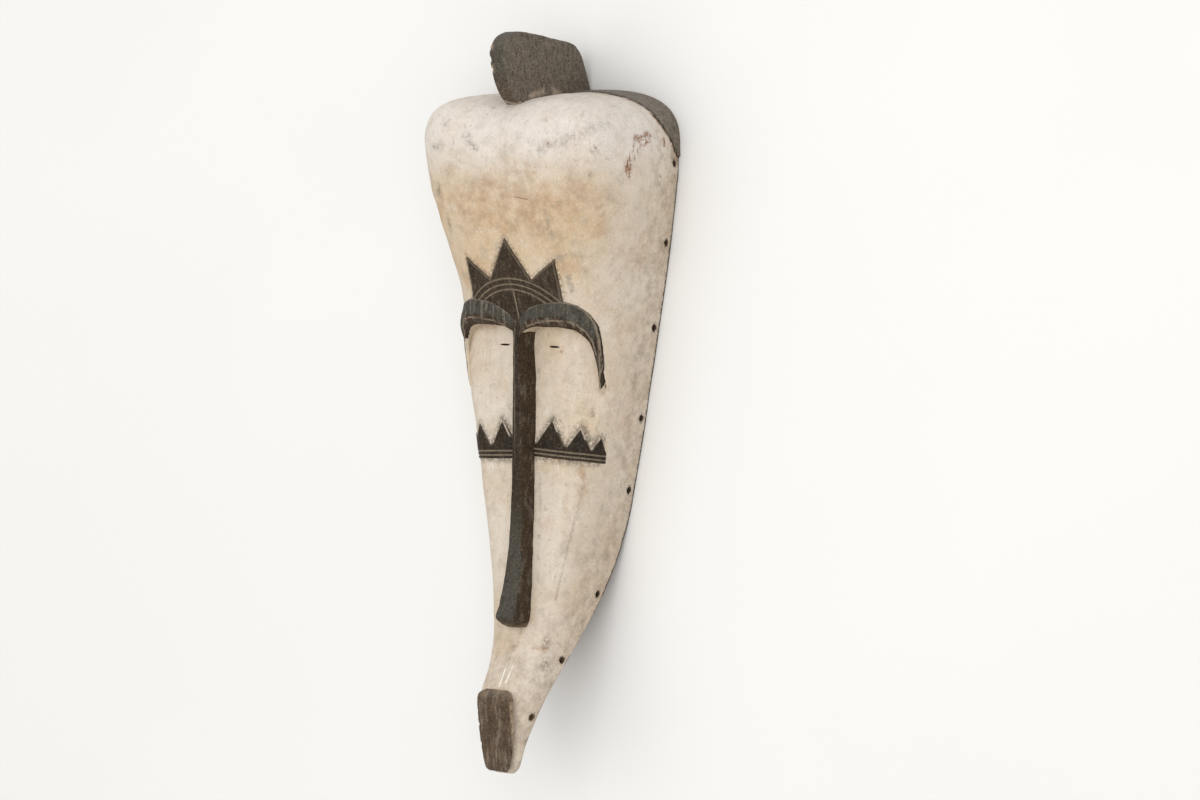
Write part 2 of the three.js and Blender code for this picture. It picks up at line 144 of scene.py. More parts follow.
# Side of the crest, y and z, round from its foot at the front over the top to the back.
CREST = [
    (240, 80), (262, 99), (271, 112.5), (277, 121), (286, 128.5), (298, 134.5), (310, 138.5),
    (317, 139.5), (324, 138), (330, 133.5), (334.5, 127), (337.3, 118), (338, 107), (336.5, 90),
    (333.5, 62), (331, 38), (328.5, 27), (323, 19.5), (314, 13.5), (302, 7.5), (290, 2.5), (280, 0),
    (262, 0), (240, 40),
]
CREST_MIDDLE = (294, 72)
# Worn paint where the crest meets the dome: across its front foot, and back along its right side.
CREST_FOOT = [([(-7, 272, 117), (0, 270, 114), (8, 271, 111)], 2.6, 1.0)]
CREST_BASE = [
    ([(8.2, 279, 96), (8.2, 282.5, 84), (8.2, 284, 70), (8.2, 283.6, 57), (8.2, 283, 50)],
     2.6, 1.0),
]
CROWN_TOP = [(-51, 130), (-23.5, 110.4), (0, 148.2), (23.5, 110.4), (51, 130)]
CROWN_FOOT = [(-52.5, 84), (0, 66), (52.5, 84)]
CROWN_ARCS = (71.2, 65.9, 61.0)  # radii of the three cut arcs
CROWN_ARC_Y = 39.5  # height of their centre
CROWN_LINE = [(2.2, 98), (3.4, 84), (3.8, 70)]  # the cut line down the middle
# Upper outline of the cheek row, as the way round the cheek from the middle line, then y.
CHEEK_TOP = [
    (4, -46), (11, -45), (29.4, -21.4), (41, -45.5), (44, -46), (57.8, -27), (66.5, -48), (69, -49),
    (76.3, -35.5), (83, -51),
]
CHEEK_FOOT = [(4, -57), (60, -60), (83, -62.5)]
# Light lines along some of the points.
ROW_LINES = {
    "cheek_row_right": [
        [(29.8, -23.5), (34, -33)], [(44.8, -46), (57.3, -29)], [(58.3, -29.5), (62, -39)],
        [(67.4, -48.5), (75.6, -37.5)],
    ],
    "cheek_row_left": [[(28.8, -23.5), (20.5, -36.5)]],
}
RIGHT_ROW_LIFT = 3  # the row on the right cheek sits higher than the left one
# Half width of the mouth against the height along the mask, and its nicks: height and depth.
MOUTH_HALF = [
    (-346, 10.5), (-341, 14.5), (-312, 19.6), (-296, 20.6), (-281, 20.6), (-273, 18.4),
    (-269.5, 12),
]
MOUTH_NICKS = [(-303, 1.6), (-321, 1.3), (-290, 0.7)]
HOLE_Y = (220, 146, 67, -18, -86, -183, -243, -294)
HOLE_ABOVE_RIM = 8.5
SLIT = (28.6, 48)

# Camera: seen from the right of the mask and a little from below, with the mask leaning a little.
YAW, TILT, LEAN = math.radians(36), math.radians(2), 0.025
VIEW_DISTANCE = 4.245
VIEW_ASIDE = (0.0198, -0.0047)
LENS, SENSOR = 135, 36
# Soft lights: how far to the right, up and back of the middle of the mask, side in metres, colour.
LIGHTS = [
    ("key", (-0.8, 0.2, 3.0), 3.0, (1.0, 0.99, 0.975)),
    ("side", (-2.3, 0.1, 1.45), 2.6, (1.0, 0.99, 0.975)),
    ("top", (0.1, 2.3, 0.9), 1.4, (0.96, 0.98, 1.0)),
]


# Curves and places


def smooth(rows):
    """Smooth value through (place, value) rows, without overshoot, for arrays of places."""
    place, value = np.array(rows, float).T
    gap = np.diff(place)
    step = np.diff(value) / gap
    slope = np.concatenate([step[:1], np.zeros(len(step) - 1), step[-1:]])
    a, b = step[:-1], step[1:]
    same = a * b > 0
    slope[1:-1] = np.where(same, 2 * a * b / np.where(same, a + b, 1), 0)

    def at(p):
        p = np.clip(np.asarray(p, float), place[0], place[-1])
        i = np.clip(np.searchsorted(place, p, side="right") - 1, 0, len(gap) - 1)
        t = (p - place[i]) / gap[i]
        return (
            (2 * t**3 - 3 * t**2 + 1) * value[i] + (t**3 - 2 * t**2 + t) * gap[i] * slope[i]
            + (3 * t**2 - 2 * t**3) * value[i + 1] + (t**3 - t**2) * gap[i] * slope[i + 1]
        )

    return at


def columns(rows):
    """One smooth curve for each column of a table, against the row number."""
    return [smooth(list(enumerate(col))) for col in zip(*rows)]


def ramp(low, high, value):
    """0 up to one value and 1 from the other on, with a soft step between."""
    t = np.clip((np.asarray(value, float) - low) / (high - low), 0, 1)
    return t * t * (3 - 2 * t)


def lowest(a, b, round_off):
    """The smaller of two values, with the corner between them rounded."""
    h = np.clip(0.5 + 0.5 * (b - a) / round_off, 0, 1)
    return b + (a - b) * h - round_off * h * (1 - h)


def to_line(x, y, line):
    """Distance from points to a broken line of (x, y)."""
    best = np.full(np.shape(x), 1e9)
    for (ax, ay), (bx, by) in zip(line[:-1], line[1:]):
        dx, dy = bx - ax, by - ay
        t = np.clip(((x - ax) * dx + (y - ay) * dy) / (dx * dx + dy * dy), 0, 1)
        best = np.minimum(best, np.hypot(x - ax - t * dx, y - ay - t * dy))
    return best


def rough(points, size, seed):
    """Uneven height, about -1 to 1, with lumps of the given size, at points in millimetres."""
    shift = Vector((seed * 7.31, seed * 3.17, seed * 5.77))
    return np.array([
        noise.fractal(Vector(p) / size + shift, 0.8, 2.0, 3, noise_basis="PERLIN_ORIGINAL")
        for p in points
    ])


def lumpy(points, rows):
    """Unevenness of a skin: each row is a size of lumps, their seed and their height."""
    return sum(rough(points, size, seed) * height for size, seed, height in rows)


def gouges(points, size, seed):
    """Shallow scoops that a gouge leaves, 0 at the ridges to 1 in the middle of a scoop."""
    shift = Vector((seed * 3.3, seed * 1.7, seed))
    a, b, c = size
    depth = [noise.voronoi(Vector((x / a, y / b, z / c)) + shift)[0] for x, y, z in points]
    return np.array([1 - min(1.0, d[0] / 0.75) ** 2 for d in depth])


# The block


RIM_Y, RIM_Z, HALF_WIDTH, FACE_Y, FACE_Z, SQUARE, SWELL = columns(STATIONS)
DIP = smooth(SADDLE)
LEFT_BULGE = smooth(LEFT_SWELL)
UNDER_BROW = smooth(BROW_UNDER)
FINE_STEPS = 700  # steps in which a section is first laid out


def station_at(y):
    """Station number of a height along the rim."""
    return np.interp(y, STATION_Y, range(LAST + 1))


def half_section(width, reach, power, swell, steps):
    """Half of a section from the rim to the middle line: x and reach at even steps along it."""
    t = np.linspace(0, math.pi / 2, FINE_STEPS)
    across, out = np.cos(t) ** (2 / power), np.sin(t) ** (2 / power)
    x, r = (width + swell * np.sin(math.pi * out)) * across, reach * out
    run = np.concatenate([[0], np.cumsum(np.hypot(np.diff(x), np.diff(r)))])
    goal = np.linspace(0, run[-1], steps + 1)
    x, r = np.interp(goal, run, x), np.interp(goal, run, r)
    x[-1] = 0
    return x, r


def whole_section(station, inside, grow=0):
    """Section from the right rim over the middle to the left rim, with the skin grown outward."""
    w, square, swell = HALF_WIDTH(station) + grow, SQUARE(station), SWELL(station)
    foot = np.array([0, RIM_Y(station), RIM_Z(station)])
    top = np.array([0, FACE_Y(station), FACE_Z(station)])
    reach = np.linalg.norm(top - foot)
    way = (top - foot) / reach
    reach += grow
    steps = HALF_FRONT
    if inside:
        above_chin = ramp(3, 9, station)
        w -= RIM_AT_CHIN + RIM_WIDER_ABOVE * above_chin
        in_dome = ramp(DOME_STATION - 1, DOME_STATION, station)
        wall = WALL_AT_CHIN + WALL_THICKER_ABOVE * above_chin - WALL_THINNER_IN_DOME * in_dome
        reach = max((reach - wall) * ramp(2.6, 3.1, station), 0.01)
        square, swell, steps = HOLLOW_SQUARE, 0, HALF_BACK
    halves = []
    for extra in (0, 0 if inside else float(LEFT_BULGE(foot[1]))):
        x, r = half_section(w, reach, square, swell + extra, steps)
        if not inside:
            r = np.maximum(r - DIP(station) * np.exp(-((x / SADDLE_REACH) ** 2)), 0)
        halves.append(np.column_stack([x, foot[1] + way[1] * r, foot[2] + way[2] * r]))
    return np.vstack([halves[0], (halves[1][:-1] * (-1, 1, 1))[::-1]])


def station_rows():
    """Stations at even steps along the middle of the face and its rim."""
    fine = np.linspace(0, LAST, 4000)
    middle = np.hypot(np.diff(FACE_Y(fine)), np.diff(FACE_Z(fine)))
    rim = np.hypot(np.diff(RIM_Y(fine)), np.diff(RIM_Z(fine)))
    run = np.concatenate([[0], np.cumsum(0.8 * middle + 0.2 * rim)])
    return np.interp(np.linspace(0, run[-1], ROWS), run, fine)


def spaced(knots, counts):
    """Even steps from knot to knot, so that a vertex lies on each knot."""
    spans = [
        np.linspace(a, b, n, endpoint=False) for a, b, n in zip(knots[:-1], knots[1:], counts)
    ]
    return np.concatenate(spans + [[knots[-1]]])


def normals_of(sheet):
    """Outward normals of a sheet of points given as rows from the right rim to the left one."""
    along, across = np.gradient(sheet, axis=0), np.gradient(sheet, axis=1)
    n = np.cross(along, across)
    return n / np.maximum(np.linalg.norm(n, axis=2, keepdims=True), 1e-9)


def cheek_depth(x):
    """Depth of the cheeks, which fall away from the nose."""
    fall = np.where(np.asarray(x) < 0, CHEEK_FALL_LEFT, CHEEK_FALL_RIGHT)
    return CHEEK_DEPTH - fall * (np.abs(x) / CHEEK_FALL_AT) ** 4


def cheek_floor(x, y):
    """Depth down to which the cheeks are cut back, which rises toward the neck."""
    return cheek_depth(x) + NECK_RISE * ramp(90, 175, -y)


def brow_line():
    """Lower line of the brows as points, for distances."""
    x = np.concatenate([np.linspace(0, 68, 24), np.linspace(69, 76, 30), [84, 92]])
    return list(zip(x, UNDER_BROW(x)))


def block_sheet(unevenness):
    """Outer skin of the mask: cheeks cut back, dark band raised, and the marks of the hand."""
    rows = station_rows()
    sheet = np.array([whole_section(s, False) for s in rows])
    x, y, z = sheet[..., 0], sheet[..., 1], sheet[..., 2]
    side = np.where(y < UNDER_BROW(np.abs(x)), 1, -1) * to_line(np.abs(x), y, brow_line())
    below = ramp(-2.8, -1.6, side) * ramp(-186, -172, y)
    cut = lowest(z, cheek_floor(x, y), 3.0)
    sheet[..., 2] = z + (cut - z) * below
    normal = normals_of(sheet)
    flat = sheet.reshape(-1, 3)
    hand = lumpy(flat, SKIN_LUMPS) - gouges(flat, SKIN_SCOOPS, 3) * SKIN_SCOOP_DEPTH
    fade = ramp(0, 5, z - RIM_Z(rows)[:, None]) * ramp(0, 3, np.abs(y - STATION_Y[0]))
    lift = hand.reshape(z.shape) * fade * unevenness
    on_band = (band_side(flat) + rough(flat, 9, 5) * 0.5).reshape(z.shape)
    lift += BAND_PROUD * ramp(0.9, -0.9, on_band)
    sheet = sheet + normal * lift[..., None]
    sheet[..., 2] = np.maximum(sheet[..., 2], 0)
    return rows, sheet


def band_side(points):
    """Distance in front of the dark band round the back of the dome; negative on it."""
    y, z = points[:, 1], points[:, 2]
    edge_y, edge_z = np.array(BAND_EDGE, float).T
    return np.maximum((z - np.interp(y, edge_y, edge_z)) * 0.76, 226 - y)


def face_ring(unevenness):
    """Closed rings round the whole mask: outer skin, rim, hollow and rim again, row by row."""
    rows, outer = block_sheet(unevenness)
    inner = np.array([whole_section(s, True) for s in rows])
    flat = inner.reshape(-1, 3)
    scoop = gouges(flat, HOLLOW_SCOOPS, 8) * HOLLOW_SCOOP_DEPTH + rough(flat, 30, 9) * 0.5
    deep = np.clip((inner[..., 2] - RIM_Z(rows)[:, None]) / 10, 0, 1)
    inner = inner + normals_of(inner) * (scoop.reshape(deep.shape) * deep * unevenness)[..., None]
    share = np.linspace(0, 1, RIM_STEPS + 1)[1:-1, None]
    left = [o[-1] + (i[-1] - o[-1]) * share for o, i in zip(outer, inner)]
    right = [i[0] + (o[0] - i[0]) * share for o, i in zip(outer, inner)]
    rings = [np.vstack([o, a, i[::-1], b]) for o, a, i, b in zip(outer, left, inner, right)]
    return outer, np.array(rings)


# Making meshes


def active(obj):
    """Selects one object alone."""
    if bpy.context.mode != "OBJECT":
        bpy.ops.object.mode_set(mode="OBJECT")
    bpy.ops.object.select_all(action="DESELECT")
    obj.select_set(True)
    bpy.context.view_layer.objects.active = obj
    return obj


def placed(points):
    """Table millimetres to metres in the frame."""
    points = np.asarray(points, float).reshape(-1, 3)
    return (points + (0, MIDDLE, 0)) * MM


def numbers(items, name, width=3, kind=float):
    """One property of all vertices, edges or faces of a mesh, as rows."""
    out = np.empty(len(items) * width, kind)
    items.foreach_get(name, out)
    return out.reshape(-1, width)


def table_points(obj):
    """The vertices of a piece in table millimetres."""
    return numbers(obj.data.vertices, "co") / MM - (0, MIDDLE, 0)


def normals(obj):
    return numbers(obj.data.vertex_normals, "vector")


def grid(name, across, along):
    """A new flat grid, with the place of each vertex as two numbers from 0 to 1."""
    bpy.ops.object.select_all(action="DESELECT")
    bpy.ops.mesh.primitive_grid_add(
        x_subdivisions=across, y_subdivisions=along, size=2, location=(0, 0, 0)
    )
    obj = bpy.context.object
    obj.name = obj.data.name = name
    return obj, (numbers(obj.data.vertices, "co")[:, :2] + 1) / 2


def set_points(obj, points):
    obj.data.vertices.foreach_set("co", placed(points).ravel())
    obj.data.update()


def edit(obj, *steps):
    """Runs edit mode steps on the whole of a piece."""
    active(obj)
    bpy.ops.object.mode_set(mode="EDIT")
    bpy.ops.mesh.select_mode(type="VERT")
    bpy.ops.mesh.select_all(action="SELECT")
    for step in steps:
        step()
    bpy.ops.object.mode_set(mode="OBJECT")


def merge():
    bpy.ops.mesh.remove_doubles(threshold=2e-6)


def tube(name, rings):
    """A piece through rings of points: a grid rolled up and sewn along its seam, open at its two
    ends.
    """
    rings = np.asarray(rings, float)
    count, around = rings.shape[:2]
    obj, uv = grid(name, around, count - 1)
    i = np.rint(uv[:, 0] * around).astype(int) % around
    j = np.rint(uv[:, 1] * (count - 1)).astype(int)
    set_points(obj, rings[j, i])
    edit(obj, merge)
    return obj


def sew_tube(obj):
    """Closes each open end of a rolled grid on its own and turns all faces outward."""
    active(obj)
    bpy.ops.object.mode_set(mode="EDIT")
    bpy.ops.mesh.select_mode(type="EDGE")
    bpy.ops.mesh.select_all(action="DESELECT")
    bpy.ops.mesh.select_non_manifold(extend=False)
    bpy.ops.mesh.fill_holes(sides=0)
    bpy.ops.mesh.select_all(action="SELECT")
    bpy.ops.mesh.normals_make_consistent(inside=False)
    bpy.ops.object.mode_set(mode="OBJECT")
    uses = numbers(obj.data.loops, "edge_index", 1, int)[:, 0]
    if (np.bincount(uses, minlength=len(obj.data.edges)) != 2).any():
        raise RuntimeError(f"{obj.name} is not closed")


def apply(obj, kind, **settings):
    """Adds a modifier and applies it."""
    active(obj)
    mod = obj.modifiers.new(kind.title(), kind)
    for key, value in settings.items():
        setattr(mod, key, value)
    bpy.ops.object.modifier_apply(modifier=mod.name)


def soften(obj, angle):
    """Smooth shading, apart from edges sharper than an angle in degrees."""
    active(obj)
    bpy.ops.object.shade_smooth_by_angle(angle=math.radians(angle))


def resample(loop, count):
    """Points at even steps along a closed line."""
    loop = np.asarray(loop, float)
    loop = np.vstack([loop, loop[:1]])
    run = np.concatenate([[0], np.cumsum(np.linalg.norm(np.diff(loop, axis=0), axis=1))])
    goal = np.linspace(0, run[-1], count + 1)[:-1]
    return np.column_stack([np.interp(goal, run, column) for column in loop.T])


def round_corners(loop, passes):
    """Softens the corners of a closed line of even points."""
    loop = np.asarray(loop, float)
    for _ in range(passes):
        loop = 0.5 * loop + 0.25 * (np.roll(loop, 1, 0) + np.roll(loop, -1, 0))
    return loop


def bulge(obj):
    """How sharply the skin bends outward at each vertex: positive on edges, negative in hollows."""
    pair = numbers(obj.data.edges, "vertices", 2, int)
    p, n = table_points(obj), normals(obj)
    total, weight = np.zeros(len(p)), np.zeros(len(p))
    for a, b in (pair.T, pair.T[::-1]):
        way = p[a] - p[b]
        size = np.maximum(np.linalg.norm(way, axis=1), 0.2)
        np.add.at(total, a, (way * n[a]).sum(1) / size)
        np.add.at(weight, a, 1)
    return total / np.maximum(weight, 1)


def store(obj, **fields):
    """Keeps painted fields on the vertices of a piece, for its material."""
    for name, values in fields.items():
        layer = obj.data.attributes.new(name, "FLOAT", "POINT")
        layer.data.foreach_set("value", np.ascontiguousarray(values, np.float32))


def blots(points, rows):
    """Soft stains: each row is x, y, z, size across, size along, strength."""
    out = np.zeros(len(points))
    for x, y, z, across, along, strength in rows:
        d = np.sqrt(
            ((points[:, 0] - x) / across) ** 2 + ((points[:, 1] - y) / along) ** 2
            + ((points[:, 2] - z) / max(across, along)) ** 2
        )
        out = np.maximum(out, strength * ramp(1.25, 0.2, d))
    return out


def strokes(points, rows):
    """Stains along a line: each row is a list of places, the half width and the strength."""
    out = np.zeros(len(points))
    for line, half, strength in rows:
        line = np.asarray(line, float)
        best = np.full(len(points), 1e9)
        for a, b in zip(line[:-1], line[1:]):
            way = b - a
            t = np.clip((points - a) @ way / (way @ way), 0, 1)
            best = np.minimum(best, np.linalg.norm(points - a - t[:, None] * way, axis=1))
        out = np.maximum(out, strength * ramp(half * 1.5, half * 0.3, best))
    return out


# Materials


class Recipe:
    """Nodes of one material, added by short calls."""

    def __init__(self, name):
        self.material = bpy.data.materials.new(name)
        self.material.use_nodes = True
        self.tree = self.material.node_tree
        self.shader = self.tree.nodes["Principled BSDF"]
        self.place = self.tree.nodes.new("ShaderNodeTexCoord").outputs["Object"]

    def node(self, kind, **settings):
        made = self.tree.nodes.new(kind)
        for key, value in settings.items():
            setattr(made, key, value)
        return made

    def feed(self, socket, value):
        if isinstance(value, bpy.types.NodeSocket):
            self.tree.links.new(value, socket)
        elif isinstance(value, (tuple, list)) and len(value) == 3 and socket.type == "RGBA":
            socket.default_value = (*value, 1)
        else:
            socket.default_value = value

    def math(self, how, a, b, clamp=False):
        made = self.node("ShaderNodeMath", operation=how, use_clamp=clamp)
        self.feed(made.inputs[0], a)
        self.feed(made.inputs[1], b)
        return made.outputs[0]

    def field(self, name):
        return self.node("ShaderNodeAttribute", attribute_name=name).outputs["Fac"]

    def span(self, value, low, high, to_low=0.0, to_high=1.0):
        made = self.node("ShaderNodeMapRange", interpolation_type="SMOOTHSTEP")
        for k, v in enumerate((value, low, high, to_low, to_high)):
            self.feed(made.inputs[k], v)
        return made.outputs[0]

    def stretch(self, scale):
        made = self.node("ShaderNodeMapping")
        self.feed(made.inputs["Vector"], self.place)
        made.inputs["Scale"].default_value = scale
        return made.outputs[0]

    def noise(self, scale, detail, roughness, at=None, seed=0.0):
        made = self.node("ShaderNodeTexNoise", noise_dimensions="4D")
        self.feed(made.inputs["Vector"], at or self.place)
        settings = {"W": seed, "Scale": scale, "Detail": detail, "Roughness": roughness}
        for key, value in settings.items():
            made.inputs[key].default_value = value
        return made.outputs["Fac"]

    def cells(self, scale):
        made = self.node("ShaderNodeTexVoronoi")
        self.feed(made.inputs["Vector"], self.place)
        made.inputs["Scale"].default_value = scale
        return made.outputs["Distance"]

    def mix(self, share, a, b):
        made = self.node("ShaderNodeMix", data_type="RGBA")
        for k, value in ((0, share), (6, a), (7, b)):
            self.feed(made.inputs[k], value)
        return made.outputs[2]

    def times(self, *values):
        out = values[0]
        for value in values[1:]:
            out = self.math("MULTIPLY", out, value)
        return out

    def vector(self, how, a, b):
        made = self.node("ShaderNodeVectorMath", operation=how)
        for k, value in ((0, a), (1, b)):
            if isinstance(value, bpy.types.NodeSocket):
                self.feed(made.inputs[k], value)
            else:
                made.inputs[k].default_value = value
        return made

    def scratch(self, line, half):
        """How much of a thin scratch along a broken line lies at a place."""
        nearest = None
        for a, b in zip(placed(line)[:-1], placed(line)[1:]):
            way = b - a
            from_a = self.vector("SUBTRACT", self.place, tuple(a)).outputs[0]
            share = self.vector("DOT_PRODUCT", from_a, tuple(way / (way @ way))).outputs["Value"]
            share = self.math("MAXIMUM", share, 0.0, clamp=True)
            foot = self.node("ShaderNodeVectorMath", operation="SCALE")
            foot.inputs[0].default_value = tuple(way)
            self.feed(foot.inputs["Scale"], share)
            off = self.vector("DISTANCE", from_a, foot.outputs[0]).outputs["Value"]
            nearest = off if nearest is None else self.math("MINIMUM", nearest, off)
        return self.span(nearest, half * MM, half * 0.3 * MM)

    def coats(self, under, rows):
        """Thin mottled coats: pattern, where it starts and where it is full, share, tint."""
        for pattern, start, full, share, tint in rows:
            under = self.mix(self.times(self.span(pattern, start, full), share), under, tint)
        return under

    def stain(self, under, name, pattern, spread, most, tint):
        """Tint over a colour where a painted field says, broken up by a pattern."""
        share = self.times(self.field(name), self.span(pattern, *spread))
        return self.mix(self.math("MINIMUM", share, most), under, tint)

    def bump(self, height, strength, distance, before=None):
        made = self.node("ShaderNodeBump")
        self.feed(made.inputs["Height"], height)
        made.inputs["Strength"].default_value = strength
        made.inputs["Distance"].default_value = distance
        if before is not None:
            self.feed(made.inputs["Normal"], before)
        return made.outputs[0]

    def finish(self, colour, roughness, normal, specular=0.25):
        self.feed(self.shader.inputs["Base Color"], colour)
        self.feed(self.shader.inputs["Roughness"], roughness)
        self.shader.inputs["Specular IOR Level"].default_value = specular
        self.feed(self.shader.inputs["Normal"], normal)
        return self.material


def painted_wood(name, props):
    """Chalky white earth and dark paint on carved wood, told apart by fields on the piece, with
    painted light, shade and sheen where the fields and the facing of the surface put them.
    """
    r = Recipe(name)
    broad = r.noise(12, 4, 0.6, seed=1)
    cloud = r.noise(30, 6, 0.62, seed=2)
    patch_noise = r.noise(62, 6, 0.65, seed=3)
    speck = r.noise(170, 4, 0.6, seed=4)
    fine = r.noise(520, 3, 0.6, seed=5)
    grain = r.noise(1, 5, 0.62, at=r.stretch((420, 24, 420)), seed=6)
    streak = r.noise(1, 4, 0.6, at=r.stretch((150, 9, 150)), seed=7)
    breakup = r.noise(95, 7, 0.7, seed=8)
    ragged = r.noise(260, 5, 0.62, seed=9)

    sooty = r.math("ADD", r.times(ragged, 0.5), r.times(fine, 0.5))

    # white earth: pale and cool on the dome, partly a paler earth and partly painted light from
    # above; cream on the forehead, clouded and speckled all over
    white = r.mix(r.span(broad, 0.36, 0.64), tuple(props.white_cool), tuple(props.white_warm))
    white = r.mix(r.times(r.field("pale"), 0.85), white, tuple(props.pale))
    creamy = r.times(r.field("cream"), r.span(cloud, 0.3, 0.62, 0.6, 1.0))
    white = r.mix(creamy, white, tuple(props.cream))
    warm = r.times(r.span(cloud, 0.5, 0.68), r.math("ADD", r.times(r.field("cream"), 0.5), 0.14))
    white = r.mix(warm, white, (0.50, 0.33, 0.19))
    on_cream = r.math("ADD", r.times(r.field("cream"), 0.24), 0.14)
    olive = r.math("ADD", r.times(r.field("grey"), 0.9), on_cream)
    olive = r.times(r.span(patch_noise, 0.52, 0.68), olive)
    white = r.mix(r.math("MINIMUM", olive, 0.7), white, (0.36, 0.31, 0.23))
    white = r.coats(white, (
        (patch_noise, 0.42, 0.3, 0.4, (0.80, 0.75, 0.68)),
        (streak, 0.56, 0.72, 0.24, (0.42, 0.34, 0.25)),
        (grain, 0.56, 0.76, 0.26, (0.40, 0.32, 0.24)),
        (grain, 0.42, 0.28, 0.3, (0.82, 0.77, 0.70)),
        (speck, 0.58, 0.7, 0.4, (0.34, 0.25, 0.17)),
        (fine, 0.56, 0.72, 0.44, (0.38, 0.30, 0.22)),
        (fine, 0.44, 0.28, 0.4, (0.88, 0.84, 0.78)),
    ))
    white = r.stain(white, "ochre", breakup, (0.36, 0.66, 0.1, 1.2), 0.85, (0.36, 0.20, 0.10))
    white = r.stain(white, "grey", breakup, (0.4, 0.7, 0.0, 1.2), 0.8, (0.25, 0.225, 0.19))
    white = r.stain(white, "rust", sooty, (0.4, 0.56, 0.0, 1.5), 0.92, (0.25, 0.115, 0.065))
    # Soot, and along the rim of the face a painted contact shadow.
    white = r.stain(white, "soot", sooty, (0.4, 0.58, 0.0, 1.4), 0.92, (0.06, 0.048, 0.038))
    for line, half, tint, share in SCRATCHES:
        broken = r.span(ragged, 0.34, 0.5, 0.25, 1.0)
        white = r.mix(r.times(r.scratch(line, half), broken, share), white, tint)

    # dark paint: brown or greyer, streaked along the grain; the greyer tone and the paler mix where
    # it faces up are partly greyer paint and a dusting, partly painted sheen
    dark = r.mix(r.span(broad, 0.35, 0.65), tuple(props.dark), (0.024, 0.018, 0.012))
    # Greyer where the tone field is above zero, which the pieces set on faces toward the light:
    # greyer paint and painted sheen.
    dark = r.mix(r.math("MAXIMUM", r.field("tone"), 0.0), dark, tuple(props.slate_and_sheen))
    browner = r.math("MULTIPLY", r.field("tone"), -1.0)
    dark = r.mix(r.math("MAXIMUM", browner, 0.0), dark, tuple(props.umber))
    fibre = r.noise(1, 8, 0.75, at=r.stretch((240, 110, 240)), seed=10)
    dark = r.coats(dark, (
        (fibre, 0.5, 0.66, 0.3, (0.105, 0.068, 0.044)),
        (patch_noise, 0.5, 0.66, 0.45, (0.018, 0.013, 0.008)),
        (fine, 0.48, 0.36, 0.5, (0.008, 0.006, 0.004)),
        (fine, 0.53, 0.66, 0.34, (0.15, 0.115, 0.085)),
        (ragged, 0.58, 0.68, 0.28, (0.16, 0.105, 0.07)),
    ))
    # Paler mix on faces turned up the mask: partly a dusting, partly painted sheen of the light
    # from above.
    up = r.node("ShaderNodeSeparateXYZ")
    r.feed(up.inputs[0], r.node("ShaderNodeNewGeometry").outputs["Normal"])
    patches = r.span(patch_noise, 0.2, 0.65, 0.35, 1.0)
    dust_and_sheen = r.times(r.span(up.outputs["Y"], 0.05, 0.9), patches, 0.3)
    dark = r.mix(dust_and_sheen, dark, (0.15, 0.14, 0.13))
    weave = r.math("ADD", r.times(fibre, 0.55), r.times(fine, 0.45))
    dark = r.stain(dark, "chalk", weave, (0.36, 0.64, 0.35, 1.3), 0.92, (0.50, 0.43, 0.35))

    # where the dark paint ends: a ragged hand-painted edge
    wander = r.math("MULTIPLY", r.math("SUBTRACT", ragged, 0.5), 3.0)
    covered = r.span(r.math("ADD", r.field("dark"), wander), -0.3, 0.3)
    colour = r.mix(covered, white, dark)

    # rubbed edges, cut lines and bare wood
    colour = r.stain(colour, "rubbed", breakup, (0.38, 0.62, 0.05, 1.2), 0.85, (0.33, 0.235, 0.155))
    wood = r.mix(r.span(grain, 0.35, 0.65), (0.47, 0.36, 0.25), (0.24, 0.155, 0.095))
    colour = r.stain(colour, "bare", ragged, (0.3, 0.55, 0.2, 1.5), 1.0, wood)
    cut = r.times(r.field("cut"), r.span(ragged, 0.3, 0.55, 0.45, 0.9))
    colour = r.mix(cut, colour, (0.33, 0.26, 0.185))

    rough_white = r.span(patch_noise, 0.3, 0.7, 0.80, 0.95)
    rough_dark = r.span(patch_noise, 0.3, 0.7, 0.5, 0.7)
    mixer = r.node("ShaderNodeMix", data_type="FLOAT")
    for k, v in ((0, covered), (2, rough_white), (3, rough_dark)):
        r.feed(mixer.inputs[k], v)
    bumps = r.bump(grain, 0.1, 0.0005)
    bumps = r.bump(patch_noise, 0.3, 0.0008, bumps)
    bumps = r.bump(fine, 0.35, 0.00022, bumps)
    pits = r.span(r.cells(210), 0.0, 0.16)
    bumps = r.bump(pits, 0.25, 0.0004, bumps)
    return r.finish(colour, mixer.outputs[0], bumps, 0.1)


def raw_wood(name, props):
    """Bare brown wood of the hollow and the rim, with grain along the mask and the dirt of use."""
    r = Recipe(name)
    grain = r.noise(1, 6, 0.62, at=r.stretch((300, 14, 300)), seed=11)
    rings = r.noise(1, 3, 0.5, at=r.stretch((60, 4, 60)), seed=12)
    mottle = r.noise(40, 5, 0.6, seed=13)
    fine = r.noise(500, 3, 0.6, seed=14)
    colour = r.mix(r.span(rings, 0.3, 0.7), tuple(props.wood), (0.20, 0.118, 0.064))
    colour = r.coats(colour, (
        (grain, 0.45, 0.75, 0.6, (0.13, 0.075, 0.042)),
        (mottle, 0.5, 0.8, 0.5, (0.44, 0.33, 0.23)),
        (mottle, 0.45, 0.2, 0.55, (0.085, 0.052, 0.033)),
    ))
    colour = r.mix(r.times(r.field("rubbed"), 0.6), colour, (0.36, 0.24, 0.15))
    # Soot, which on the rim also carries the painted contact shadow.
    colour = r.stain(colour, "soot", mottle, (0.3, 0.6, 0.4, 1.2), 0.9, (0.06, 0.04, 0.028))
    bumps = r.bump(grain, 0.4, 0.0008)
    bumps = r.bump(fine, 0.3, 0.0003, bumps)
    return r.finish(colour, r.span(mottle, 0.3, 0.7, 0.62, 0.82), bumps, 0.25)


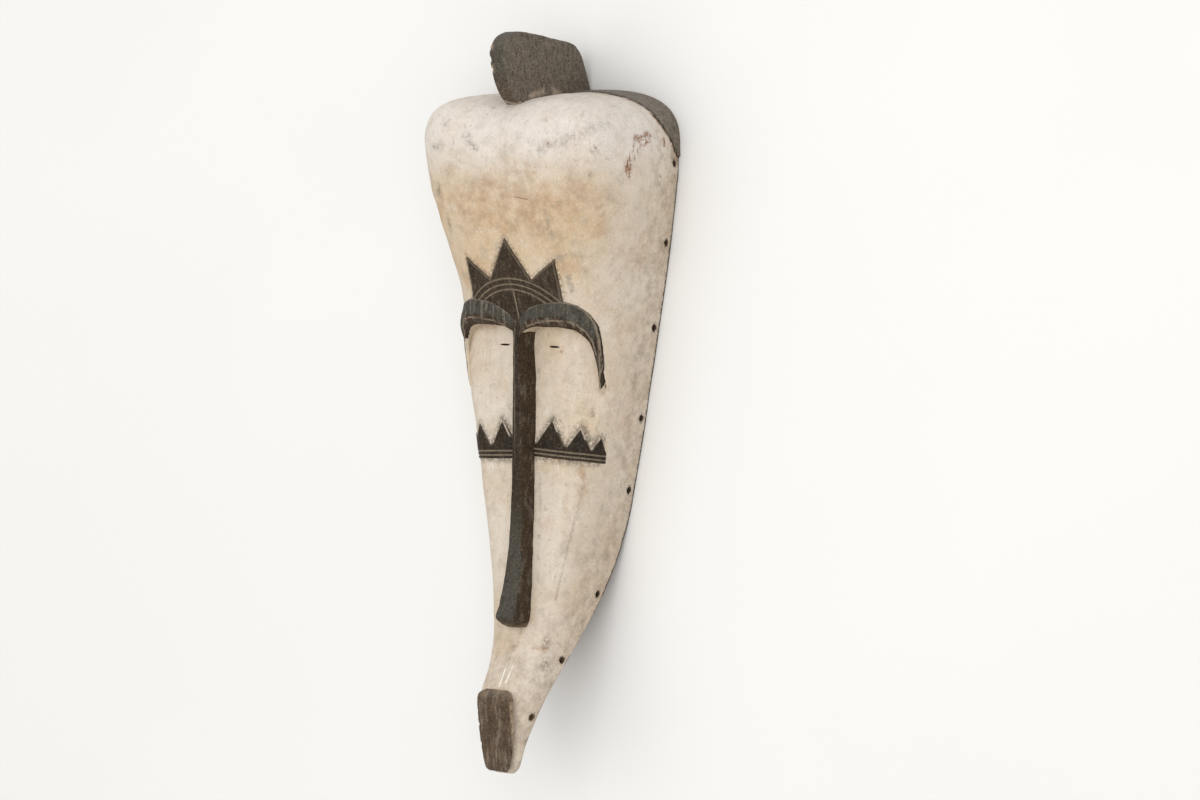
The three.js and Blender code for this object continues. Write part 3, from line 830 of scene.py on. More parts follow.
def plain(name, colour, roughness):
    """Even matt finish of the stage, with a faint mottle."""
    r = Recipe(name)
    cloud = r.noise(3, 2, 0.5)
    tint = r.mix(r.span(cloud, 0.3, 0.7), colour, tuple(c * 0.985 for c in colour))
    return r.finish(tint, roughness, r.bump(r.noise(700, 2, 0.5), 0.05, 0.0002), 0.2)


def finish_of(name, make):
    """The named material, made once."""
    found = bpy.data.materials.get(name)
    return found or make(name, bpy.context.scene.mask_looks)


def dress(obj, *materials):
    obj.data.materials.clear()
    for material in materials:
        obj.data.materials.append(material)


def belongs(obj):
    """The piece moves with the mask."""
    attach(obj, "root")


def dark_wood(obj, angle):
    """A piece under dark paint, with edges sharper than an angle kept crisp."""
    soften(obj, angle)
    dress(obj, finish_of("Dark paint on wood", painted_wood))


def hand_marks(obj, rows):
    """Moves the skin of a piece in and out by its unevenness."""
    p = table_points(obj)
    set_points(obj, p + normals(obj) * lumpy(p, rows)[:, None])


# Stains and wear, by their place on the mask

SOOT_BLOTS = [
    (-73, 231, 131, 13, 4, 0.4), (-31, 235, 136, 6, 4, 0.4), (-25, 230, 136, 5, 4, 0.45),
    (-38, 241, 136, 4, 3, 0.3), (29, -226, 84, 5, 7, 0.35), (31, -246, 87, 4, 8, 0.4),
    (-73, 190, 125, 4, 12, 0.3), (-68, 160, 117, 4, 14, 0.3), (36, -22, 78, 4, 6, 0.3),
    (8, -244, 102, 5, 5, 0.3), (66, -12, 68, 3, 6, 0.3), (112, 244, 62, 3, 4, 0.3),
    (52, 229, 136, 7, 4, 0.36), (67, 235, 134, 5, 3, 0.3), (82, 242, 129, 8, 3, 0.34),
    (-62.7, 252, 133, 6, 3, 0.3), (-31, 241, 136, 4, 5, 0.3), (93, 207, 117, 4, 3, 0.25),
    (97, 230, 117, 5, 3, 0.3),
]
SOOT_STROKES = [
    ([(71, -18, 64), (64.5, -50, 69.7), (53.5, -102, 71.4)], 1.6, 0.2),
    ([(53.5, -102, 71.4), (46.6, -130, 73.8), (35, -186, 78)], 1.2, 0.3),
    ([(49, 229, 136), (62, 235, 134.5), (74, 238, 131.5), (84, 243, 128), (94, 249, 119),
      (103, 253, 103)], 4, 0.17),
]
OCHRE_BLOTS = [
    (0, 190, 131, 50, 26, 0.5), (45, 172, 125, 34, 30, 0.42), (-40, 178, 127, 24, 26, 0.4),
    (79, 194, 122, 18, 26, 0.42), (0, 162, 126, 60, 16, 0.4), (94, 176, 103, 14, 30, 0.35),
    (57, -75, 71, 4, 22, 0.6), (23, -233, 88.5, 9, 3.5, 0.2), (100, 130, 60, 16, 40, 0.25),
    (36.5, 42.7, 79, 2.5, 2.5, 0.9), (0, -205, 90, 30, 12, 0.25), (30, 212, 134, 40, 12, 0.35),
    (70, 130, 100, 14, 12, 0.3), (84, 92, 88, 10, 16, 0.25), (92, 62, 60, 10, 14, 0.3),
    (-55, 205, 129, 16, 12, 0.35), (62, -16, 70, 6, 10, 0.35), (44, -110, 76, 6, 30, 0.25),
    (57, -175, 50, 16, 60, 0.24), (40, -240, 72, 12, 24, 0.4), (0, -236, 100, 12, 18, 0.3),
]
OCHRE_STROKES = [
    ([(58, -60, 73), (56, -74, 73), (56.5, -91, 70)], 2.2, 0.5),
    ([(4.2, -248.6, 101.3), (2.7, -225.2, 92.3), (5.1, -214, 89.7)], 1.6, 0.5),
    ([(19.6, -231.4, 91.6), (25.4, -231.1, 88.5), (30.3, -232, 84.3)], 2.2, 1.0),
]
RUST_BLOTS = [
    (58, 236, 134, 5, 4, 0.45), (76, 243, 129, 5, 4, 0.4), (40, 236, 135, 6, 3, 0.3),
    (60, 116, 103, 5, 4, 0.25), (24, 172, 129, 7, 4, 0.3), (112.2, 208, 33, 2, 2, 0.8),
    (109.7, 208, 7, 2, 2, 0.6), (98.6, 232, 116, 2, 2, 0.6), (96, 228.4, 118.3, 1.5, 1.5, 0.6),
    (93, 208, 117, 2, 2, 0.4), (36, 43, 79, 1.6, 1.6, 0.9), (111.4, 214, 83, 3, 7, 0.5),
]
RUST_STROKES = [
    ([(111.7, 221, 83.8), (110.7, 216, 85.4), (110.4, 210, 84)], 1.6, 1.0),
    ([(112.4, 220, 79.5), (111.4, 213, 79.9), (110.6, 205.5, 80)], 1.4, 1.0),
    ([(112.7, 240.3, 76.4), (112.8, 231, 79), (112, 222, 82.6)], 1.0, 1.0),
    ([(114, 235, 67), (113.4, 229.4, 72.3), (112.8, 222, 75.9)], 0.9, 0.9),
    ([(112.6, 242, 74.8), (113, 242, 66), (112.2, 246, 58), (112.5, 244, 53)], 2.4, 1.0),
    ([(112.7, 240, 70), (113.8, 238.5, 63.7), (113.6, 240, 54)], 2.2, 0.9),
    ([(113.9, 235, 68.5), (114, 236, 59.3)], 1.0, 0.7),
    ([(111, 243, 28), (112.4, 236, 28)], 1.8, 0.95),
]
GREY_BLOTS = [
    (-38, 10, 78, 8, 9, 0.6), (-28, -4, 79, 6, 12, 0.6), (-34, -40, 80, 10, 6, 0.3),
    (-20, -14, 79, 7, 14, 0.5), (60, -3, 72, 5, 6, 0.5), (-23, -241, 93, 10, 7, 0.5),
    (-5, -252, 104, 9, 9, 0.5), (36, -156, 79, 5, 24, 0.3), (90, 40, 40, 20, 40, 0.15),
    (60, -160, 40, 18, 60, 0.4), (0, 285, 110, 20, 8, 0.3), (29, -230, 84, 8, 16, 0.35),
    (45, -60, 78, 24, 6, 0.2), (66, 236, 133, 30, 9, 0.3), (-77, 180, 124, 7, 30, 0.45),
    (40, 120, 112, 20, 20, 0.2), (22, 20, 79, 6, 20, 0.2), (14, -226, 98, 10, 8, 0.25),
    (70, 150, 112, 24, 24, 0.22), (30, 246, 132, 24, 10, 0.28),
]
GREY_STROKES = [
    ([(49, 173, 126), (51.6, 158, 121.5), (54.5, 143, 115.7), (57, 127, 109), (60, 116, 103.5),
      (61.5, 102, 97.5)], 3.2, 0.6),
    ([(14.8, -71, 79.5), (16.6, -113, 80.5), (17.3, -150, 83.3), (19, -182, 84.7)], 2.0, 0.55),
    ([(112, 221, 81), (113.7, 236, 70), (112, 248, 55)], 2, 0.4),
    ([(-7, -226, 92.6), (-10, -244, 99), (-12, -262, 110)], 1.6, 0.5),
    ([(0, -230, 93.8), (-1.8, -248, 101.1), (-4, -257, 107.2)], 2.0, 0.5),
]
# Thin scratches in the white earth: places, half width, tint and strength.
SCRATCHES = [
    ([(14.4, 186.4, 131.5), (22, 185.8, 131.4), (33, 184, 130.6)], 0.7, (0.26, 0.13, 0.08), 0.9),
    ([(54, -102, 72.2), (49, -120, 73.4), (46.4, -131, 74.4), (38.6, -146, 78.6), (34, -170, 79.6)],
     0.6, (0.20, 0.14, 0.10), 0.45),
    ([(24, 175, 129.6), (29, 176.4, 129.6)], 0.5, (0.3, 0.16, 0.1), 0.6),
    ([(24, 49.5, 79.6), (38, 46.8, 79.6)], 0.45, (0.18, 0.12, 0.08), 0.7),
    ([(-36, 50, 79.6), (-20, 49, 79.6)], 0.45, (0.18, 0.12, 0.08), 0.7),
    ([(4.5, -263.6, 112.1), (3.8, -250.4, 102.3), (6.6, -235.8, 95.7), (6, -224.9, 92.1)],
     1.0, (0.92, 0.89, 0.84), 0.9),
    ([(-0.5, -266.6, 114.6), (-3.1, -252.7, 103.9), (-5, -239.4, 97.1)],
     0.9, (0.92, 0.89, 0.84), 0.8),
]
# Bare wood at the lower ends of the dark band.
BARE_BLOTS = [(109.5, 222, 5, 3, 4, 0.8), (-109.5, 222, 5, 3, 4, 0.8)]
# The row of points on the cheek seen from the front, for the smudges round it.
ROW_TOP = [
    (4, -46), (11, -45), (29.4, -21.4), (41, -45.5), (44, -46), (57.8, -27), (65, -48), (71.3, -38),
    (78, -50),
]
ROW_FOOT = [(4, -57), (60, -60), (78, -62)]


def marks(points, blot_rows, stroke_rows, *more):
    """Stains of one kind, and other fields added to them, which on the face include painted shade
    along the rim and beside the nose.
    """
    return np.maximum.reduce([blots(points, blot_rows), strokes(points, stroke_rows), *more])


def paint_face(obj):
    """Fields of stains, wear and dark paint on the face, with painted light on the dome, painted
    sheen on the dark band and painted shade along the rim and beside the nose.
    """
    p = table_points(obj)
    x, y, z = p.T
    rim_z = RIM_Z(station_at(y))
    # Paler, cooler earth on the top of the dome: partly a paler earth, partly painted light from
    # above.
    dome = ramp(186, 250, y) * ramp(5, 60, z)
    forehead = ramp(76, 120, y) * (1 - ramp(168, 226, y)) * ramp(66, 110, z)
    cheeks = (y < 66) * (y > -70) * (z > 62) * ramp(78, 70, np.abs(x))
    rim = 1 - ramp(16, 60, z - rim_z)
    band = -band_side(p)
    cream = 0.22 + 0.78 * forehead + np.where(x > 0, 0.1, -0.1) * cheeks - 0.25 * dome
    around_hole = np.zeros(len(p))
    for hy in HOLE_Y:
        hz = RIM_Z(station_at(hy)) + HOLE_ABOVE_RIM
        ring = ramp(5.2, 3.4, np.hypot(y - hy, z - hz)) * (np.abs(x) > 15)
        around_hole = np.maximum(around_hole, ring)
    # Along the rim, strongest on the upper part where it lies flat, a dark stain and dark paint
    # make a line: partly a darkened edge, partly painted contact shadow.
    upper_part = 0.25 + 0.75 * ramp(-200, -110, y)
    rim_contact_shadow = ramp(3.4, 0.8, z - rim_z) * (y < 228) * upper_part
    under_brow = ramp(8, 0, to_line(np.abs(x), y, brow_line())) * (z > 50)
    under_brow *= y < UNDER_BROW(np.abs(x)) + 3
    # Grey in the crease beside the nose: partly grey smudges, partly painted shade where the cheek
    # meets the nose.
    beside_nose = ramp(15, 10, np.abs(x)) * (y < 60) * (y > -212) * (z > 60)
    near_crown = ramp(4.5, 0.5, outline_distance(x, y, CROWN_TOP, CROWN_FOOT)) * (z > 80)
    row_y = y - np.where(x > 0, RIGHT_ROW_LIFT, 0)
    near_row = ramp(7, 0.5, outline_distance(np.abs(x), row_y, ROW_TOP, ROW_FOOT)) * (z > 55)
    soot = marks(
        p, SOOT_BLOTS, SOOT_STROKES, 0.8 * around_hole, 0.45 * near_crown, 0.5 * near_row,
        0.6 * rim_contact_shadow,
    )
    ochre = marks(p, OCHRE_BLOTS, OCHRE_STROKES, 0.22 * rim, 0.35 * under_brow)
    grey = marks(
        p, GREY_BLOTS, GREY_STROKES, 0.16 + 0.2 * rim, 0.5 * beside_nose, 0.25 * under_brow,
        0.5 * near_row,
    )
    band_line = ramp(1.6, 0.3, np.abs(band + 1.8))
    rust = marks(p, RUST_BLOTS, RUST_STROKES, 0.6 * band_line)
    bare = blots(p, BARE_BLOTS)
    # Dark paint within a millimetre or so of the rim on the upper part: partly a darkened edge,
    # partly painted contact shadow.
    dark_rim_shadow = np.where(y < 228, 1.6 * upper_part - 0.4 - (z - rim_z), -6)
    # On the dark band the tone is greyer far from the rim and browner close to it: greyer paint and
    # painted sheen from the sky on its outer part.
    store(
        obj, cream=np.clip(cream, 0, 1), grey=np.clip(grey, 0, 1), pale=dome, soot=soot,
        ochre=ochre, rust=rust, chalk=0.3 * (band > 0),
        dark=np.clip(np.maximum(band + 1.2, dark_rim_shadow), -6, 6),
        tone=(0.9 - 1.2 * ramp(40, 10, z)) * (band > 0), rubbed=0 * x, bare=bare, cut=0 * x,
    )


def streaks(points, size, seed):
    """Lighter streaks in worn paint, 0 to 1, along the mask."""
    return ramp(0.0, 0.5, rough(points * (1, 0.16, 0.3), size, seed))


def outline_distance(x, y, top, foot):
    """Distance outside a closed outline of a top line and a foot line; negative inside."""
    ring = list(top) + list(reversed(foot))
    ring.append(ring[0])
    inside = np.zeros(np.shape(x), bool)
    for (ax, ay), (bx, by) in zip(ring[:-1], ring[1:]):
        if ay == by:
            continue
        cross = (ay > y) != (by > y)
        inside ^= cross & (x < (bx - ax) * (y - ay) / (by - ay) + ax)
    return np.where(inside, -1, 1) * to_line(x, y, ring)


# What a piece under dark paint has where it says nothing else.
UNPAINTED = dict(
    cream=0.3, pale=0.0, soot=0.0, ochre=0.0, grey=0.1, rust=0.0,
    dark=6.0, chalk=0.0, tone=0.0, rubbed=0.0, bare=0.0, cut=0.0,
)


def paint_dark(obj, **fields):
    """Fields of a piece under dark paint; each may be a number or one value a vertex."""
    full = np.ones(len(obj.data.vertices))
    store(obj, **{name: value * full for name, value in {**UNPAINTED, **fields}.items()})


# The pieces


SHEET = {}  # outer skin of the face, for the pieces that lie on it


def outer_sheet():
    if "outer" not in SHEET:
        SHEET["outer"], SHEET["rings"] = face_ring(bpy.context.scene.mask_sizes.unevenness)
    return SHEET["outer"]


def tree_of(sheet):
    """A sheet of points as a surface to lay pieces on."""
    rows, across = sheet.shape[:2]
    index = np.arange(rows * across).reshape(rows, across)
    quads = np.stack([index[:-1, :-1], index[:-1, 1:], index[1:, 1:], index[1:, :-1]], -1)
    return BVHTree.FromPolygons(sheet.reshape(-1, 3).tolist(), quads.reshape(-1, 4).tolist())


def skin_tree():
    if "tree" not in SHEET:
        SHEET["tree"] = tree_of(outer_sheet())
    return SHEET["tree"]


def laid(x, y, tree=None):
    """Depth of the face, or of another surface, under points x, y seen from the front."""
    tree = tree or skin_tree()
    out = []
    for a, b in zip(x, y):
        hit = tree.ray_cast(Vector((a, b, 300)), Vector((0, 0, -1)))[0]
        if hit is None:
            raise RuntimeError(f"nothing under {a:.1f}, {b:.1f}")
        out.append(hit.z)
    return np.array(out)


def round_cheek(way, y, side):
    """Places on one side of the face, with their normals, by the way round and the height y."""

    def from_middle(field):
        return field[:, : HALF_FRONT + 1][:, ::-1] if side > 0 else field[:, HALF_FRONT:]

    sheet = outer_sheet()
    half = from_middle(sheet)
    steps = np.linalg.norm(np.diff(half, axis=1), axis=2)
    run = np.concatenate([np.zeros((len(half), 1)), np.cumsum(steps, axis=1)], 1)
    height = half[:, 0, 1]
    normal = from_middle(normals_of(sheet))
    row = np.interp(y, height[:200], np.arange(200))
    low = np.floor(row).astype(int)
    t = (row - low)[:, None]
    found = []
    for field in (half, normal):
        ends = []
        for shift in (0, 1):
            ends.append(np.array([
                [np.interp(w, run[j], field[j, :, k]) for k in range(3)]
                for w, j in zip(way, low + shift)
            ]))
        found.append(ends[0] * (1 - t) + ends[1] * t)
    return found[0], found[1] / np.linalg.norm(found[1], axis=1, keepdims=True)


class CarveFace(bpy.types.Operator):
    """Carve the long face: outer skin, rim, hollow, the holes along the rim and the eye slits"""

    bl_idname = "mesh.mask_face"
    bl_label = "Face"

    def execute(self, context):
        sizes = context.scene.mask_sizes
        outer_sheet()
        rings = SHEET["rings"]
        face = tube("face", rings)
        sew_tube(face)
        earth = finish_of("White earth on wood", painted_wood)
        dress(face, earth, finish_of("Bare wood", raw_wood))
        self.mark_inside(face)
        self.pierce(face, sizes)
        soften(face, 42)
        paint_face(face)
        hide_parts("mask")
        belongs(face)
        return {"FINISHED"}

    def mark_inside(self, face):
        """Rim and hollow take the second material: they lie behind the outer skin."""
        mesh = face.data
        centre = numbers(mesh.polygons, "center") / MM - (0, MIDDLE, 0)
        tree = skin_tree()
        inside = [tree.find_nearest(Vector(c))[3] > 0.9 for c in centre]
        mesh.polygons.foreach_set("material_index", np.array(inside, np.int32))

    def pierce(self, face, sizes):
        """Drills the holes along the rim and cuts the two eye slits."""
        chance = random.Random(4)
        tools = []
        for y in HOLE_Y:
            s = float(station_at(y))
            w, z = float(HALF_WIDTH(s)), float(RIM_Z(s)) + HOLE_ABOVE_RIM
            for side in (1, -1):
                reach = min(26, w - 12)
                at = placed((side * (w + 4 - reach / 2), y + chance.uniform(-0.4, 0.4), z))[0]
                bpy.ops.object.select_all(action="DESELECT")
                bpy.ops.mesh.primitive_cylinder_add(
                    vertices=28, radius=sizes.hole_width / 2 * chance.uniform(0.94, 1.08),
                    depth=(reach + 8) * MM, location=at,
                    rotation=(
                        chance.uniform(-0.04, 0.04), math.pi / 2, chance.uniform(-0.05, 0.05)
                    ),
                )
                tools.append(bpy.context.object)
        for side in (1, -1):
            at = placed((side * SLIT[0], SLIT[1], 75))[0]
            bpy.ops.object.select_all(action="DESELECT")
            bpy.ops.mesh.primitive_cylinder_add(vertices=32, radius=0.5, depth=0.11, location=at)
            slit = bpy.context.object
            slit.scale = (sizes.slit_long, sizes.slit_high, 1)
            tools.append(slit)
        bpy.ops.object.select_all(action="DESELECT")
        for tool in tools:
            tool.select_set(True)
        bpy.context.view_layer.objects.active = tools[0]
        bpy.ops.object.join()
        bpy.ops.object.transform_apply(location=True, rotation=True, scale=True)
        drill = bpy.context.object
        dress(drill, face.data.materials[0], face.data.materials[1])
        wood = np.ones(len(drill.data.polygons), np.int32)
        drill.data.polygons.foreach_set("material_index", wood)
        apply(face, "BOOLEAN", object=drill, operation="DIFFERENCE", solver="EXACT")
        bpy.data.objects.remove(drill)


def face_depth(x, y):
    """Depth of the uncut face at places below the dome."""
    s = np.minimum(station_at(y), DOME_STATION)
    share = np.maximum(0, 1 - (np.abs(x) / HALF_WIDTH(s)) ** SQUARE(s))
    return RIM_Z(s) + (FACE_Z(s) - RIM_Z(s)) * share ** (1 / SQUARE(s))


class CarveBrows(bpy.types.Operator):
    """Carve the two brows that run from the nose over the eyes and down the temples"""

    bl_idname = "mesh.mask_brows"
    bl_label = "Brows"

    def execute(self, context):
        rise_share = context.scene.mask_sizes.brow_rise / MM / 6
        curves = columns(BROW)
        for side, name in ((1, "brow_right"), (-1, "brow_left")):
            rings, lines = [], []
            for s in np.linspace(0, len(BROW) - 1, 118):
                ux, uy, ex, ey, lx, ly, rise = [float(c(s)) for c in curves]
                rise *= rise_share
                out = self.left_out(s) if side < 0 else 0
                edge = float(face_depth(ex, ey)) + rise + 0.7 * out
                ux, ex = ux + 1.4 * out, ex + out
                upper = float(face_depth(ux, uy))
                low = min(float(face_depth(lx, ly)) + rise * 0.2, edge - 0.5)
                deep = float(cheek_depth(side * lx)) - 6
                between = upper + (edge - upper) * 0.75 + 0.7
                key = [
                    (ux, uy, upper - 7), (ux, uy, upper + 1.2),
                    (ux + (ex - ux) * 0.6, uy + (ey - uy) * 0.6, between),
                    (ex, ey, edge), (lx, ly, low), (lx, ly, min(deep, upper - 8)),
                ]
                rings.append(round_corners(resample([(side * a, b, c) for a, b, c in key], 64), 3))
                lines.append(((ux, uy, upper), (ex, ey, edge), (lx, ly, low)))
            brow = tube(name, rings)
            sew_tube(brow)
            hand_marks(brow, ((9, 21 + side, 0.35), (3, 23, 0.12)))
            dark_wood(brow, 50)
            self.paint(brow, side, np.array(lines).swapaxes(0, 1))
            belongs(brow)
        return {"FINISHED"}

    def left_out(self, s):
        """How far the left brow stands out, against the place along it."""
        neck = (LEFT_BROW_NECK - LEFT_BROW_OUT) * ramp(7.4, 8.8, s)
        tail = (LEFT_TAIL_OUT - LEFT_BROW_NECK) * ramp(9.5, 12.5, s)
        return float(LEFT_BROW_OUT * ramp(5, 6.5, s) + neck + tail)

    def paint(self, brow, side, lines):
        p = table_points(brow)
        x, y, z = p.T
        x = x * side
        facing = normals(brow)
        lower = lines[2]
        upper_line, edge_line, lower_line = [[tuple(q) for q in line[:, :2]] for line in lines]
        inside = -outline_distance(x, y, upper_line, lower_line)
        near = np.argmin(np.hypot(x[:, None] - lower[:, 0], y[:, None] - lower[:, 1]), axis=1)
        to_upper, to_edge, to_lower = [
            to_line(x, y, line) for line in (upper_line, edge_line, lower_line)
        ]
        dark = np.minimum(inside + 1.2, 6.0)
        if side > 0:
            dark = np.minimum(dark, ramp(8, 22, y) * 7 - 1.0)
        else:
            dark = np.where(y < 64, np.minimum(dark, ramp(50, 60, y) * 7 - 1.0), dark)
            dark = np.where(y < 58, np.maximum(dark, 0.9 - to_edge - ramp(30, 0, y)), dark)
        dark = np.where((z < lower[near, 2] - 1.2) & (to_lower < 1.5) & (x > 5), -6, dark)
        dark = np.where(x < 5, np.maximum(dark, 2.0), dark)
        tail = ramp(64, 52, y) * (x > 60)
        on_top = (inside > 0) & (to_upper < to_lower * 1.6)
        crease = ramp(0.75, 0.15, to_line(x, y, BROW_CREASE))
        border = ramp(1.1, 0.3, np.abs(inside - 0.6)) * (facing[:, 2] > 0.2) * on_top * (x > 7)
        worn_face = 0.04 + 0.24 * (1 - tail) * ramp(6, 1, to_edge)
        worn = np.where(on_top, 0.1 if side > 0 else 0.24, worn_face)
        # The upper facet takes the greyer tone: greyer paint and painted sheen where it faces the
        # light; the lower facet is browner.
        paint_dark(
            brow, dark=dark, tone=np.where(on_top, 0.95, -0.75) * (1 - tail),
            cut=np.maximum(0.85 * crease, 0.7 * border), chalk=worn * streaks(p, 2.2, 25),
            rubbed=0.25 * ramp(0.2, 0.45, bulge(brow)), cream=0.5, grey=0.25,
        )


class CarveNose(bpy.types.Operator):
    """Carve the long narrow nose with its blunt bevelled end"""

    bl_idname = "mesh.mask_nose"
    bl_label = "Nose"

    def execute(self, context):
        curves = columns(NOSE)
        rings = []
        for s in np.linspace(0, len(NOSE) - 1, 220):
            y, front, bevel, foot, z, drop = [float(c(s)) for c in curves]
            half = [(foot, y, 70), (foot, y, min(80.5, z - 4)), (bevel, y, z - drop), (front, y, z)]
            ring = half + [(-a, b, c) for a, b, c in reversed(half)]
            rings.append(round_corners(resample(ring, 72), 3))
        nose = tube("nose", rings)
        sew_tube(nose)
        hand_marks(nose, ((14, 31, 0.35), (4, 33, 0.12)))
        dark_wood(nose, 50)
        p = table_points(nose)
        x, y = p[:, 0], p[:, 1]
        side_top = np.where(np.abs(x) > 5.6, 63 - 0.55 * (np.abs(x) - 3.5) - y, 6)
        low = ramp(-80, -150, y)
        front = ramp(0.5, 0.85, normals(nose)[:, 2])
        # A thin light line down the left of the nose's front, stored with the cut lines: painted
        # highlight.
        ridge_highlight = ramp(0.8, 0.2, np.abs(x + 0.9)) * front * ramp(-70, 0, y)
        # The front of the nose is greyer toward its lower end: painted highlight on the glossy
        # paint; its sides are browner.
        paint_dark(
            nose, dark=np.clip(side_top, -6, 6), tone=np.where(front > 0.5, 0.1 + 0.7 * low, -0.7),
            chalk=0.12 * (1 - front) * streaks(p, 2.4, 35) + 0.03 * front * low, cut=0.5 * ridge_highlight,
            cream=0.8, ochre=0.35, grey=0.35,
            rubbed=0.3 * ramp(-207, -211, y) + 0.15 * ramp(0.3, 0.6, bulge(nose)),
        )
        belongs(nose)
        return {"FINISHED"}


class CarveCrest(bpy.types.Operator):
    """Carve the upright crest with its chipped edges"""

    bl_idname = "mesh.mask_crest"
    bl_label = "Crest"

    def execute(self, context):
        thick = context.scene.mask_sizes.crest_thickness / MM
        outline = round_corners(resample(CREST, 260), 4)
        middle = np.array(CREST_MIDDLE, float)
        t = thick / 2
        half = [
            (t, k) for k in (0.03, 0.12, 0.25, 0.38, 0.5, 0.6, 0.7, 0.78, 0.85, 0.9, 0.94, 0.965)
        ]
        half += [(t - 0.25, 0.978), (t - 0.8, 0.99), (t - 1.6, 0.998), (t - 3, 1.0), (t - 5.5, 1.0)]
        profile = half + [(0, 1.0)] + [(-x, k) for x, k in reversed(half)]
        rings = []
        for x, k in profile:
            y, z = (middle + (outline - middle) * k).T
            rings.append(np.column_stack([np.full(len(y), x), y, np.maximum(z, 0)]))
        crest = tube("crest", rings)
        sew_tube(crest)
        p = table_points(crest)
        n = normals(crest)
        x, y, z = p.T
        away = np.maximum(np.abs(n[:, 1]), np.abs(n[:, 2]))
        chip_zone = ramp(0.0, 5.0, -x + 1) * ramp(285, 296, y) * ramp(118, 130, z)
        chip_zone = chip_zone + 0.35 * ramp(0.3, 0.9, bulge(crest) * 2)
        chips = np.clip(rough(p, 6, 41) * 1.4 - 0.15, 0, 1) * chip_zone * 2.2
        wear = lumpy(p, ((12, 43, 0.35), (4, 44, 0.15)))
        hold = ramp(0, 4, z)
        p = p + n * ((wear - chips) * hold)[:, None]
        p[:, 2] = np.maximum(p[:, 2], 0)
        set_points(crest, p)
        dark_wood(crest, 50)
        p = table_points(crest)
        x, y, z = p.T
        foot, base = strokes(p, CREST_FOOT), strokes(p, CREST_BASE)
        front = ramp(0.5, 0.8, away) * ramp(60, 100, z)
        low = ramp(302, 278, y)
        # The crest's edge faces are greyer on the upper part: greyer paint and painted sheen;
        # browner low down and on the sides.
        paint_dark(
            crest, tone=front * (0.5 - 1.4 * low) - 0.15 * (1 - front),
            bare=np.clip(chips * 1.4, 0, 1) * ramp(-4.5, -7, x),
            chalk=0.26 - 0.16 * front + 0.75 * foot + 0.5 * base,
            rubbed=0.3 * ramp(0.2, 0.5, bulge(crest)) + 0.4 * base + 0.5 * foot,
        )
        belongs(crest)
        return {"FINISHED"}


def patch(name, points, thickness):
    """A thin raised piece: a sheet of rows of points, closed behind by its thickness."""
    rows, across = points.shape[:2]
    obj, uv = grid(name, across - 1, rows - 1)
    i = np.rint(uv[:, 0] * (across - 1)).astype(int)
    j = np.rint(uv[:, 1] * (rows - 1)).astype(int)
    set_points(obj, points[j, i])
    if normals(obj)[:, 2].mean() < 0:
        edit(obj, bpy.ops.mesh.flip_normals)
    apply(obj, "SOLIDIFY", thickness=thickness * MM, offset=-1)
    return obj


class CarveCrown(bpy.types.Operator):
    """Carve the dark three-pointed crown over the brows, with its three cut arcs"""

    bl_idname = "mesh.mask_crown"
    bl_label = "Crown"

    def execute(self, context):
        relief = context.scene.mask_sizes.band_relief / MM
        top_x, top_y = np.array(CROWN_TOP, float).T
        foot_x, foot_y = np.array(CROWN_FOOT, float).T
        u = spaced(top_x / top_x[-1], (40,) * 4)
        v = np.linspace(0, 1, 84)
        uu, vv = np.meshgrid(u, v)
        x = uu * (52.5 - 1.5 * vv)
        y = np.interp(x, foot_x, foot_y) * (1 - vv) + np.interp(uu * 51, top_x, top_y) * vv
        z = laid(x.ravel(), y.ravel()).reshape(x.shape)
        side = [(-52.5, 84)] + CROWN_TOP + [(52.5, 84)]
        in_from_edge = to_line(x, y, side)
        height = relief * ramp(-0.3, 1.3, in_from_edge)
        groove = self.groove(x, y)
        height = height - 0.55 * groove
        flat = np.stack([x, y, z], -1).reshape(-1, 3)
        height += rough(flat, 7, 51).reshape(x.shape) * 0.12
        crown = patch("crown", np.stack([x, y, z + height], -1), 3.5)
        dark_wood(crown, 55)
        p = table_points(crown)
        px, py = p[:, 0], p[:, 1]
        from_side = to_line(px, py, side)
        rim = ramp(2.0, 0.5, from_side)
        outline = ramp(0.8, 0.2, np.abs(from_side - 1.6))
        cut = np.maximum(0.75 * self.groove(px, py) * (1 - rim), 0.32 * outline)
        paint_dark(crown, rubbed=0.15 * rim, cut=cut, chalk=0.06 * streaks(p, 2.6, 53), tone=-0.3)
        belongs(crown)
        return {"FINISHED"}

    def groove(self, x, y):
        """How deep the cut lines are at a place, 0 to 1."""
        out = np.zeros(np.shape(x))
        for radius in CROWN_ARCS:
            off = np.abs(np.hypot(x, y - CROWN_ARC_Y) - radius)
            out = np.maximum(out, ramp(0.9, 0.2, off) * (np.abs(x) < radius * 0.72))
        line = to_line(x, y, CROWN_LINE)
        return np.maximum(out, ramp(1.0, 0.25, line))


